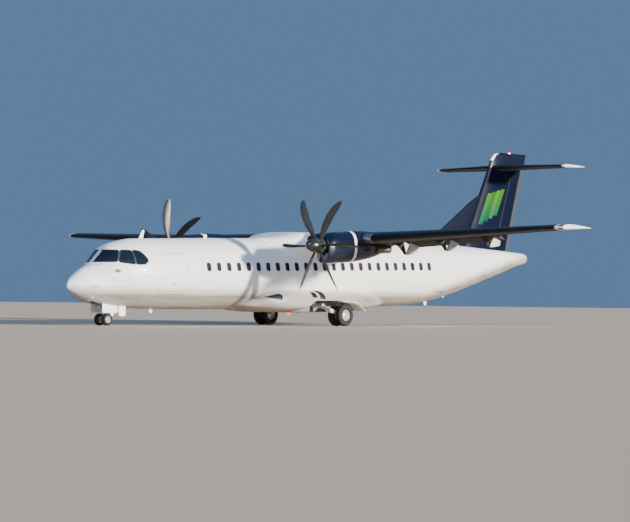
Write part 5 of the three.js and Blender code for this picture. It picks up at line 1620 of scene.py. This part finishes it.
def wheelSet(name, body, centre, axle, rim, half, offset, node):
    mesh = bmesh.new()
    for side in (-1, 1):
        wheelMesh(mesh, centre, side, axle, rim, half, offset)
    pin(mesh, 0.7 * half - offset, offset - 0.7 * half, axle, centre, (0, 1, 0), 40, 1)
    fit(name, mesh, "hub bare seal", body, "wheel_white", node)
    places = []
    for side in (-1, 1):
        face = Vector(centre) + Vector((0, side * (offset + 0.235 * half), 0))
        places += list(around(face, (0, side, 0), rim * 0.5, 12))
        face = Vector(centre) + Vector((0, side * (offset + 0.7 * half), 0))
        places += [(p - Vector((0, side * 0.05 * half, 0)), a, s) for p, a, s in around(face, (0, side, 0),
            rim * 0.955, 1)]
    ridesOn(copiesOn(name + "Bolts", places, hexBolt(rim * 0.04, 0.01), "bare"), body, "gear_steel")


def makeNoseGear():
    print("nose gear")
    s, radius = gear["noseStation"], gear["noseRadius"]
    low = gear["noseLegBottom"]
    leg = bmesh.new()
    lathe(leg, curvedTube([(0.9995, 0.066), (0.96, 0.074), (0.8, 0.075), (0.785, 0.07), (0.66, 0.07),
        (0.65, 0.0745), (0.6, 0.0745), (0.59, 0.068), (low, 0.068)]), at(s, 0, 0), (0, 0, 1), 40)
    boxBetween(leg, at(s - 0.03, 0, 0.76), at(s - 0.61, 0, 0.955), [0.032, 0.026, 0.026, 0.032],
        [0.036, 0.026, 0.026, 0.034])
    for side in (1, -1):
        lathe(leg, [(0, 0), (0, 0.034), (0.03, 0.034), (0.034, 0.028), (0.034, 0)],
            at(s - 0.04, side * 0.034, 0.765), (0, side, 0), 24)
        boxBetween(leg, at(s, side * 0.06, 0.965), at(s, side * 0.2, 0.975), [0.03, 0.026], [0.03, 0.026],
            up=(1, 0, 0))
    boxBetween(leg, at(s - 0.01, -0.16, 0.7), at(s - 0.01, 0.16, 0.7), [0.02, 0.028, 0.028, 0.02],
        [0.02, 0.028, 0.028, 0.02], up=(1, 0, 0))
    for side in (1, -1):  # steering cylinders beside the leg
        lathe(leg, [(0, 0), (0, 0.026), (0.09, 0.026), (0.1, 0.014), (0.13, 0.014), (0.13, 0)],
            at(s - 0.02, side * 0.088, 0.6), (0, 0, 1), 20)
    fit("noseLeg", leg, "gearPaint", "airframe", "gear_steel", "nose_gear_leg")
    lamps, lenses = bmesh.new(), bmesh.new()
    for side in (1, -1):
        centre = at(s - 0.105, side * 0.105, 0.7)
        lathe(lamps, [(0.065, 0), (0.065, 0.02), (0.04, 0.045), (0.0, 0.055), (-0.01, 0.055), (-0.01, 0.05),
            (0.006, 0.046), (0.006, 0)], centre, (1, 0, 0), 32)
        lathe(lenses, [(-0.002, 0), (-0.001, 0.04), (0.006, 0.047), (0.008, 0.047), (0.008, 0)], centre,
            (1, 0, 0), 32)
    fit("noseLamps", lamps, "bare", "airframe", "gear_steel")
    fit("noseLampLenses", lenses, "clearLens", "airframe", "glazing")
    ridesOn(pipes("noseHoses", [curved([at(s + 0.075, 0.03, 0.95), at(s + 0.085, 0.05, 0.8),
        at(s + 0.082, 0.03, 0.66), at(s + 0.078, 0.02, 0.6)]),
        curved([at(s + 0.073, -0.04, 0.96), at(s + 0.09, -0.06, 0.85), at(s + 0.078, -0.05, 0.7),
        at(s + 0.075, -0.03, 0.62)])], 0.007, "seal"), "airframe", "tyre_rubber")

    fork = bmesh.new()
    lathe(fork, [(low - 0.0005, 0), (low - 0.0005, 0.064), (0.505, 0.064), (0.5, 0.046), (0.3, 0.046),
        (0.3, 0.0)], at(s, 0, 0), (0, 0, 1), 40, slots=[0, 0, 0, 1, 0])
    boxBetween(fork, at(s, 0, 0.32), at(s, 0, radius), [0.05, 0.056, 0.06], [0.05, 0.056, 0.06], corner=2.5,
        sides=24)
    lathe(fork, [(-0.062, 0.0285), (-0.062, 0.048), (-0.055, 0.058), (0.055, 0.058), (0.062, 0.048),
        (0.062, 0.0285), (-0.062, 0.0285)], at(s, 0, radius), (0, 1, 0), 40)
    knee = at(s + 0.175, 0, 0.415)
    for upper in (True, False):
        root = at(s + 0.055, 0, 0.535) if upper else at(s + 0.05, 0, 0.285)
        for side in (1, -1):
            boxBetween(fork, root + Vector((0, side * 0.04, 0)),
                knee + Vector((0, side * 0.01, 0.006 if upper else -0.006)), [0.01, 0.007, 0.009],
                [0.018, 0.011, 0.014])
        pin(fork, -0.05, 0.05, 0.017, root, (0, 1, 0), 20)
    pin(fork, -0.026, 0.026, 0.013, knee, (0, 1, 0), 20, 1)
    fit("noseFork", fork, "gearPaint chrome", "nose_steering", "gear_steel", "nose_gear_fork")

    centre = at(s, 0, radius)
    wheelSet("noseWheels", "nose_wheels", centre, 0.028, gear["noseRim"], gear["noseHalf"],
        gear["noseOffset"], "nose_wheels")
    for side, name in bothSides:
        tyre = tyrePiece("noseTyre" + name, centre + Vector((0, side * gear["noseOffset"], 0)), radius,
            gear["noseRim"], gear["noseHalf"], gear["noseGrooves"], "tyre")
        ridesOn(tyre, "nose_wheels", "tyre_rubber", "nose_tyre_" + name)

    inner, thick = gear["noseDoorInside"], gear["noseDoorThickness"]
    for key, node in (("noseDoor", "nose_gear_door"), ("noseRearDoor", "nose_gear_rear_door")):
        for side, name in bothSides:
            mesh = bmesh.new()
            outline = [tuple(p) for p in roundedOutline(gear[key], 0.05)]
            slab(mesh, outline, side * inner, side * (inner + thick))
            low, high = min(z for _, z in outline), 0.74
            first, last = min(x for x, _ in outline), max(x for x, _ in outline)
            for share in (0.25, 0.75):  # stiffeners and goose-neck hinges on the inner face
                x = first + (last - first) * share
                boxBetween(mesh, at(x, side * (inner - 0.006), low + 0.16 + 0.02 * share),
                    at(x, side * (inner - 0.004), high), [0.016, 0.012], [0.008, 0.008], up=(1, 0, 0),
                    slot=1)
            fit(key + name, mesh, "whitePlain gearPaint", "airframe", "white_paint", f"{node}_{name}")


def curvedTube(rows):  # heights and radii from the top down, closed on the axis at both ends
    return [(rows[0][0], 0)] + rows + [(rows[-1][0], 0)]


def makeMainGear():
    print("main gear")
    s, y, radius = gear["mainStation"], gear["mainOffset"], gear["mainRadius"]
    inboard = fairings["wellInboard"] + 0.0003
    px, pz = gear["pivot"]
    tx, tz = gear["trunnion"]
    leg = bmesh.new()
    lathe(leg, [(inboard, 0), (inboard, 0.094), (inboard + 0.05, 0.094), (inboard + 0.07, 0.078),
        (1.48, 0.074), (1.54, 0.09), (1.66, 0.09), (1.69, 0.08), (1.7, 0)], at(tx, 0, tz), (0, 1, 0), 40)
    boxBetween(leg, at(tx, 1.61, tz - 0.005), at(px, y - 0.02, pz + 0.01), [0.07, 0.06, 0.056, 0.07],
        [0.09, 0.07, 0.066, 0.084], up=(1, 0, 0), corner=2.6, sides=24)
    boxBetween(leg, at(tx + 0.02, 1.3, tz - 0.03), at(px + 0.01, y - 0.1, pz + 0.02), [0.03, 0.022, 0.03],
        [0.03, 0.022, 0.03], up=(1, 0, 0), sides=20)
    lathe(leg, [(-0.07, 0), (-0.07, 0.07), (-0.06, 0.086), (-0.028, 0.086), (-0.022, 0.074), (0.022, 0.074),
        (0.028, 0.086), (0.06, 0.086), (0.07, 0.07), (0.07, 0)], at(px, y, pz), (0, 1, 0), 40)
    boxBetween(leg, at(px - 0.01, y, pz + 0.005), at(s + 0.005, y, radius),
        [0.05, 0.042, 0.038, 0.042, 0.05], [0.078, 0.07, 0.058, 0.058, 0.07], corner=3.0, sides=24)
    lathe(leg, [(-0.066, 0.0487), (-0.066, 0.07), (-0.058, 0.085), (0.058, 0.085), (0.066, 0.07),
        (0.066, 0.0487), (-0.066, 0.0487)], at(s, y, radius), (0, 1, 0), 48)
    boxBetween(leg, at(s + 0.04, y, radius), at(s + 0.095, y, radius - 0.01), [0.02, 0.016], [0.03, 0.022])
    low, high = at(gear["shockLow"][0], y, gear["shockLow"][1]), at(*gear["shockHigh"])
    along = (low - high).normalized()
    reach = (low - high).length
    lathe(leg, [(-0.02, 0), (-0.02, 0.036), (0.0, 0.049), (reach * 0.52, 0.049), (reach * 0.53, 0.053),
        (reach * 0.57, 0.053), (reach * 0.58, 0.034), (reach * 0.58, 0.03), (reach - 0.01, 0.03),
        (reach - 0.01, 0)], high, along, 36, slots=[0] * 7 + [1, 1])
    lathe(leg, [(-0.045, 0), (-0.045, 0.04), (-0.038, 0.046), (0.038, 0.046), (0.045, 0.04), (0.045, 0)],
        low, (0, 1, 0), 32)
    pin(leg, -0.05, 0.05, 0.05, high, (1, 0, 0), 32)
    for x, z in ((px - 0.068, pz - 0.02), (px + 0.16, pz - 0.11)):  # grease points and a tow ring
        pin(leg, -0.012, 0.012, 0.014, at(x, y, z), (0, 1, 0), 16, 1)
    legPiece = finishMesh("mainLegRight", leg, "gearPaint chrome")
    hoses = [curved([at(tx + 0.09, 1.35, tz - 0.02), at(tx + 0.11, 1.62, tz - 0.06),
        at(px + 0.09, y - 0.09, pz + 0.02), at(px + 0.24, y - 0.062, pz - 0.03),
        at(s - 0.16, y - 0.068, radius + 0.09), at(s - 0.07, y - 0.078, radius + 0.06)]),
        curved([at(tx + 0.1, 1.36, tz + 0.02), at(tx + 0.13, 1.6, tz - 0.02),
        at(px + 0.12, y - 0.08, pz + 0.06), at(px + 0.28, y - 0.05, pz - 0.01),
        at(s - 0.14, y + 0.05, radius + 0.1), at(s - 0.05, y + 0.078, radius + 0.07)])]
    hosePiece = pipes("brakeHosesRight", hoses, 0.009, "seal")
    brakes = bmesh.new()
    for side in (-1, 1):  # brake packs beside the leg, fixed to it
        start = side * 0.068
        lathe(brakes, [(0.0, 0.0487), (0.0, 0.112), (0.01, 0.118), (0.03, 0.118), (0.034, 0.11),
            (0.046, 0.11), (0.046, 0.0487), (0.0, 0.0487)], at(s, y + start, radius), (0, side, 0), 48)
        for place, axis, _ in around(at(s, y + start - side * 0.004, radius), (0, side, 0), 0.088, 6, 0.3):
            lathe(brakes, [(-0.012, 0), (-0.012, 0.014), (0.006, 0.017), (0.006, 0)], place, axis, 16,
                slot=1)
    brakePiece = finishMesh("brakePacksRight", brakes, "hot bare")
    door = bmesh.new()
    outer = curved(gear["doorLine"], 6)
    closedLine = [tuple(p) for p in outer] + [(p.x - 0.014, p.y - 0.022) for p in reversed(outer)]
    slab(door, closedLine, gear["doorY"][0], gear["doorY"][1], edge=0.003)
    for k in range(3):
        rib = gear["doorY"][0] + 0.1 + k * 0.17
        line = [tuple(p) for p in outer[3:-3]]
        slab(door, [(x - 0.012, z - 0.02) for x, z in line] + [(x - 0.03, z - 0.05) for x,
            z in reversed(line)], rib, rib + 0.014, 1, edge=0.002)
    doorPiece = finishMesh("mainDoorRight", door, "whitePlain gearPaint")
    rods = pipes("mainDoorRodsRight", [[at(13.1, 1.62, 0.955), at(12.95, 1.4, 0.85)],
        [at(13.62, 1.62, 0.88), at(13.42, 1.36, 0.8), at(13.3, 1.2, 0.8)]], 0.012, "steel")
    ridePair(legPiece, "gear_steel", "main_gear_leg")
    ridePair(hosePiece, "tyre_rubber")
    ridePair(brakePiece, "engine_metal")
    ridePair(doorPiece, "white_paint", "main_gear_door")
    ridePair(rods, "gear_steel")
    for side, name in bothSides:
        centre = at(s, side * y, radius)
        wheelSet("mainWheels" + name, "main_wheels_" + name, centre, 0.048, gear["mainRim"],
            gear["mainHalf"], gear["mainSpacing"], "main_wheels_" + name)
        for offset, label in ((-gear["mainSpacing"], "inner"), (gear["mainSpacing"], "outer")):
            tyre = tyrePiece(f"mainTyre{label}{name}", centre + Vector((0, side * offset, 0)), radius,
                gear["mainRim"], gear["mainHalf"], gear["mainGrooves"], "tyre")
            ridesOn(tyre, "main_wheels_" + name, "tyre_rubber", f"main_tyre_{label}_{name}")


fittings = {
    # station, y, root, rise, length, half thickness
    "roofAerial": (3.51, 0, 3.22, 0.36, 0.22, 0.012),
    # station, y, root, rise, length: blades on the roof and the belly
    "blades": [(6.9, 0, 3.33, 0.17, 0.22), (15.4, 0, 3.5, 0.2, 0.24), (18.6, 0, 3.54, 0.14, 0.3),
               (4.05, 0, 0.65, -0.17, 0.22), (6.3, 0.25, 0.66, -0.09, 0.14), (20.05, 0, 1.05, -0.2, 0.24),
               (21.3, 0, 1.3, -0.1, 0.16)],
    "pitot": [(0.93, 1.45), (0.85, 1.08)], "vane": (1.52, 1.75), "static": (2.82, 1.84),
    "oval": (1.68, 2.01, 0.1, 0.062),
    "wipers": [((0.86, 0.1), (1.3, 0.52)), ((0.86, -0.1), (1.3, -0.52))],
    "stairBeam": [(-0.012, 0), (0.012, 0), (0.012, 0.075), (-0.012, 0.075)],
    "cargoRib": [(-0.018, 0), (0.018, 0), (0.012, 0.035), (-0.012, 0.035)],
    "stairs": {"treads": 5, "first": 1.6, "pitch": 0.285, "depth": 0.215, "thick": 0.022, "angle": 135,
               "inset": 0.085},
    "rivetRadius": 0.0032, "rivetProud": 0.0005, "rivetPitch": 0.055, "rivetRows": (1.3, 1.78, 2.66, 2.95),
    # table, place along it, reach behind the edge, rise
    "wicks": [(wing["table"], 13.2, 0.14, 0.004), (tail["plane"], 3.45, 0.13, 0.003),
              (tail["plane"], 3.52, 0.13, 0.003)],
    "navPlaces": [13.27, 13.32, 13.37, 13.42], "finBeacon": (25.9, 7.6), "tailLight": (27.155, 2.94),
    "handles": [("cabinDoor", 20.02, 2.3, -1, "passenger_door"), ("cargoDoor", 4.1, 1.55, -1, "cargo_door"),
                ("serviceDoor", 19.8, 2.35, 1, "airframe")],
}


def foilBlade(mesh, station, y, root, rise, length, half=0.011, slot=0):  # a swept blade aerial
    rings = []
    for t, share in ((0, 1.0), (0.35, 0.86), (0.7, 0.7), (0.93, 0.55), (1.0, 0.42)):
        front = station + rise * t * (0.55 if rise > 0 else -0.55)
        ring = []
        for k in range(20):
            a = 2 * pi * k / 20
            x = (1 - cos(a)) / 2
            ring.append(at(front + x * length * share, y + sin(a) * half * share * (1.25 - 0.75 * x),
                root + rise * t))
        rings.append(ring)
    loftRings(mesh, rings, slot=slot)


def makeFittings():
    print("fittings")
    mesh = bmesh.new()
    foilBlade(mesh, *fittings["roofAerial"])
    fit("roofAerial", mesh, "whitePlain", "airframe", "white_paint", "roof_aerial")
    mesh = bmesh.new()
    for station, y, root, rise, length in fittings["blades"]:
        foilBlade(mesh, station, y, root, rise, length)
    fit("smallAerials", mesh, "whitePlain", "airframe", "white_paint")

    mesh = bmesh.new()
    for side in (-1, 1):
        for station, height in fittings["pitot"]:
            foot, normal = skinPoint(station, height, side, -0.004)
            head = foot + normal * 0.085 + Vector((-0.02, 0, 0))
            boxBetween(mesh, foot, head, [0.028, 0.02, 0.016], [0.009, 0.008, 0.008], up=(1, 0, 0))
            tip = head + Vector((-0.16, 0, 0))
            lathe(mesh, [(0, 0.0045), (0, 0.009), (0.02, 0.012), (0.17, 0.0125), (0.2, 0.008), (0.2, 0),
                (0.02, 0), (0.02, 0.0045), (0, 0.0045)], tip, (1, 0, 0), 20, slot=1)
        foot, normal = skinPoint(*fittings["vane"], side, -0.002)
        lathe(mesh, [(0, 0), (0, 0.034), (0.006, 0.034), (0.01, 0.028), (0.01, 0)], foot, normal, 24,
            slot=1)
        boxBetween(mesh, foot + normal * 0.01, foot + normal * 0.085 + Vector((0.045, 0, 0)),
            [0.026, 0.018], [0.003, 0.002], up=(1, 0, 0), slot=1)
        foot, normal = skinPoint(*fittings["static"], side, -0.001)
        for k in (-1, 1):
            lathe(mesh, [(0, 0), (0, 0.03), (0.0025, 0.03), (0.0025, 0.007), (0.0005, 0.006), (0.0005, 0)],
                foot + Vector((0.045 * k, 0, 0)), normal, 24, slot=1)
    fit("airProbes", mesh, "whitePlain bare", "airframe", "gear_steel")

    mesh = bmesh.new()
    station, height, wide, tall = fittings["oval"]
    for side in (-1, 1):
        ring = lambda grow, lift: [skinPoint(station + (wide + grow) * cos(a), height + (tall + grow)
            * sin(a), side, lift)[0] for a in (2 * pi * k / 32 for k in range(32))]
        loftRings(mesh, [ring(0, -0.01), ring(0, 0.0018), ring(-0.006, 0.003), ring(-0.022, 0.003)])
    fit("servicePlates", mesh, "grey", "airframe", "grey_paint")

    arms = []
    for (s0, y0), (s1, y1) in fittings["wipers"]:
        line = []
        for k in range(9):
            t = k / 8
            s, y = s0 + (s1 - s0) * t, y0 + (y1 - y0) * t
            middle, tall, half = sizesAt(hullTable, s, roundedKey)
            line.append(at(s, y, middle + tall * sqrt(max(0, 1 - (y / half)**2)) + 0.016))
        arms.append(line)
    ridesOn(pipes("wiperArms", arms, 0.006, "seal", 8), "airframe", "tyre_rubber")

    wicks = []
    for side in (-1, 1):
        for table, y, reach, rise in fittings["wicks"]:
            _, leading, chord, z, _ = sectionAt(table, y)
            wicks.append([at(leading + chord - 0.01, side * y, z), at(leading + chord + reach, side * y,
                z + rise)])
    ridesOn(pipes("staticWicks", wicks, 0.0035, "seal", 8), "airframe", "tyre_rubber")

    for side, name, color in ((-1, "Left", "portLens"), (1, "Right", "starboardLens")):
        mesh = bmesh.new()
        surfaceSkin(None, [(p, l - 0.0035, c + 0.007, h, t * 1.035) for p, l, c, h, t in wing["table"]],
            fittings["navPlaces"], None, outline=lampOutline, camber=wing["camber"], mesh=mesh,
            pick=lambda mark, place: 0)
        piece = finishMesh("navLight" + name, mesh, color, smoothAngle=40)
        ridesOn(flipped(piece) if side < 0 else piece, "airframe", "glazing")
    mesh = bmesh.new()
    station, height = fittings["finBeacon"]
    lathe(mesh, curvedPairs([(0.047, 0), (0.043, 0.03), (0.028, 0.048), (0.0, 0.058), (-0.03, 0.058)])
        + [(-0.03, 0)], at(station, 0, height), (0, 0, 1), 32)
    fit("finBeacon", mesh, "pinkLens", "airframe", "beacon_red")
    mesh = bmesh.new()
    station, height = fittings["tailLight"]
    lathe(mesh, curvedPairs([(0.0, 0), (-0.006, 0.02), (-0.022, 0.03), (-0.05, 0.034)]) + [(-0.05, 0)],
        at(station, 0, height), (1, 0, 0), 32)
    fit("tailLight", mesh, "clearLens", "airframe", "glazing")
    makeRivets()
    makeDoorways()


def lampOutline(thickness, camber, chord):
    low = [(x, between(x, thickness, 0, camber), -x) for x in (0.002, 0.01, 0.03, 0.06, 0.1, 0.15, 0.2)]
    high = [(x, between(x, thickness, 1, camber), x) for x in (0.2, 0.15, 0.1, 0.06, 0.03, 0.01)]
    return high + low


def makeRivets():
    places, pitch = [], fittings["rivetPitch"]

    def put(station, height, side):
        if not inDoorway(station, height, side):
            point, normal = skinPoint(station, height, side)
            places.append((point, normal, Vector((1, 0, 0))))

    for seam in hullPlan["seams"]:
        for station in (seam - 0.022, seam + 0.022):
            ring = bodyRing(hullTable, station, 240, key=roundedKey)
            top, bottom = max(p.z for p in ring), min(p.z for p in ring)
            middle, tall = (top + bottom) / 2, (top - bottom) / 2
            steps = int(pi * tall / pitch)
            for side in (-1, 1):
                for k in range(1, steps):
                    put(station, middle + tall * cos(pi * k / steps) * 0.998, side)
    for height in fittings["rivetRows"]:
        for station in spaced(3.2, 21.2, pitch):
            for side in (-1, 1):
                put(station, height, side)
    head = screwHead(fittings["rivetRadius"], fittings["rivetProud"], 6)
    ridesOn(copiesOn("skinRivets", places, head, "whitePlain", 1.0, 0.12), "airframe", "white_paint")


def inDoorway(station, z, side):
    boxes = [hullPlan[key] for key in (("cabinDoor", "cargoDoor") if side < 0 else ("serviceDoor",))]
    boxes += [hullPlan["exitHatch"], glazing["area"]]
    return any(a - 0.05 < station < c + 0.05 and b - 0.05 < z < d + 0.05 for a, b, c, d in boxes)


def innerFace(x, z, lift):  # on the inner face of a port door
    return skinPoint(x, z, -1, lift - hullPlan["doorDepth"])[0]


def doorRib(mesh, x, heights, corners):
    loftRings(mesh, [[innerFace(x, z, 0.004) + Vector((*corner, 0)) for corner in corners]
        for z in heights])


def makeDoorways():
    low, bottom, high, top = hullPlan["cabinDoor"]
    stairs = fittings["stairs"]
    lean = radians(stairs["angle"])
    reach = Vector((0, sin(lean), -cos(lean)))  # level once the door hangs open
    across = Vector((0, reach.z, -reach.y)) * stairs["thick"]
    mesh = bmesh.new()
    for i in range(stairs["treads"]):
        root = innerFace((low + high) / 2, stairs["first"] + i * stairs["pitch"], -0.002)
        for start, end, lift, inset, slot in ((0, 1, 0, 0, 0), (0.1, 0.96, 0.15, 0.02, 1)):
            inset += stairs["inset"]
            a, b = (root + reach * stairs["depth"] * share + across * lift for share in (start, end))
            loftRings(mesh, [[at(x, p.y, p.z) for p in (a, b, b + across, a + across)]
                for x in (low + inset, high - inset)], slot=slot)
    for x in (low + 0.055, high - 0.055):
        doorRib(mesh, x, spaced(bottom + 0.1, top - 0.22, 0.12), fittings["stairBeam"])
    fit("doorStairs", mesh, "gearPaint carpet", "passenger_door", "grey_paint")
    rails = []
    for x in (low + 0.035, high - 0.035):
        rail = [innerFace(x, z, -0.06) for z in spaced(bottom + 0.35, top - 0.45, 0.2)]
        rails.append(curved([innerFace(x, bottom + 0.25, 0), *rail, innerFace(x, top - 0.38, 0)], 3))
    ridesOn(pipes("doorHandrails", rails, 0.011, "chrome"), "passenger_door", "gear_steel")
    mesh = bmesh.new()
    low, bottom, high, top = hullPlan["cargoDoor"]
    for k in range(5):
        doorRib(mesh, low + (high - low) * (k + 0.5) / 5, spaced(bottom + 0.08, top - 0.1, 0.12),
            fittings["cargoRib"])
    for z in (bottom + 0.3, bottom + 0.75, bottom + 1.2):
        tubeAlong(mesh, [innerFace(x, z, -0.018) for x in spaced(low + 0.06, high - 0.06, 0.2)], 0.01, 8)
    fit("cargoDoorRibs", mesh, "gearPaint", "cargo_door", "grey_paint")
    doorHandles()
    mesh = bmesh.new()
    inside = hullPlan["vestibuleY"] - 0.004
    for key in ("cabinDoor", "cargoDoor"):
        low, bottom, high, _ = hullPlan[key]
        ring = [(low + 0.004, -1.1), (high - 0.004, -1.1), (high - 0.004, inside), (low + 0.004, inside)]
        loftRings(mesh, [[at(x, y, z) for x, y in ring] for z in (bottom - 0.006, bottom + 0.003)])
    fit("entranceFloors", mesh, "carpet", "airframe", "grey_paint")


def doorHandles():
    for key, station, height, side, body in fittings["handles"]:
        mesh = bmesh.new()
        turn = windowFrame(station, height, side)
        outline = rectangle((-0.085, -0.032, 0.085, 0.032), 0.02)
        ring = lambda grow, d: [turn @ Vector((p[0], p[1], d)) for p in grownOutline(outline, grow)]
        loftRings(mesh, [ring(0.004, -0.004), ring(0.004, 0.0022), ring(-0.003, 0.0026),
            ring(-0.006, 0.0006), ring(-0.02, 0.0006)])
        boxBetween(mesh, turn @ Vector((-0.055, 0, 0.004)), turn @ Vector((0.055, 0, 0.004)),
            [0.01, 0.013, 0.01], [0.003, 0.0045, 0.003], slot=1,
            up=tuple(turn.to_3x3() @ Vector((0, 1, 0))))
        fit("handle" + key + ("Left" if side < 0 else "Right"), mesh, "gearPaint bare", body, "gear_steel")


def makeStage():
    mesh = bmesh.new()
    half = studio["floorSize"] / 2
    mesh.faces.new([mesh.verts.new((x * half, y * half, 0)) for x, y in ((-1, -1), (1, -1), (1, 1),
        (-1, 1))])
    floorFinish = Finish("floorFinish", roughness=0.75)
    tone = floorFinish.noise(0.12, 5, 0.6)
    floorFinish.tone(tone, studio["floorColor"], tuple(c * 0.94 for c in studio["floorColor"]))
    finishes["floor"] = floorFinish.material
    finishMesh("floor", mesh, "floor", outward=False)
    world = bpy.data.worlds.new("softSky")
    world.use_nodes = True
    world.node_tree.nodes["Background"].inputs["Color"].default_value = (*studio["skyColor"], 1)
    world.node_tree.nodes["Background"].inputs["Strength"].default_value = studio["skyStrength"]
    bpy.context.scene.world = world
    softSun("key", studio["keyFrom"], studio["keyColor"], studio["keyStrength"], studio["keySoftness"])
    softSun("fill", studio["fillFrom"], studio["fillColor"], studio["fillStrength"], 40)


makeCamera()
makeStage()
finishes.update(makeFinishes())
trees = {"copies": makeCopyTree(), "pipes": makePipeTree()}
makeFuselage()
makeWing()
makeTail()
makeFairings()
makeNacelles()
makePropellers()
makeNoseGear()
makeMainGear()
makeFittings()
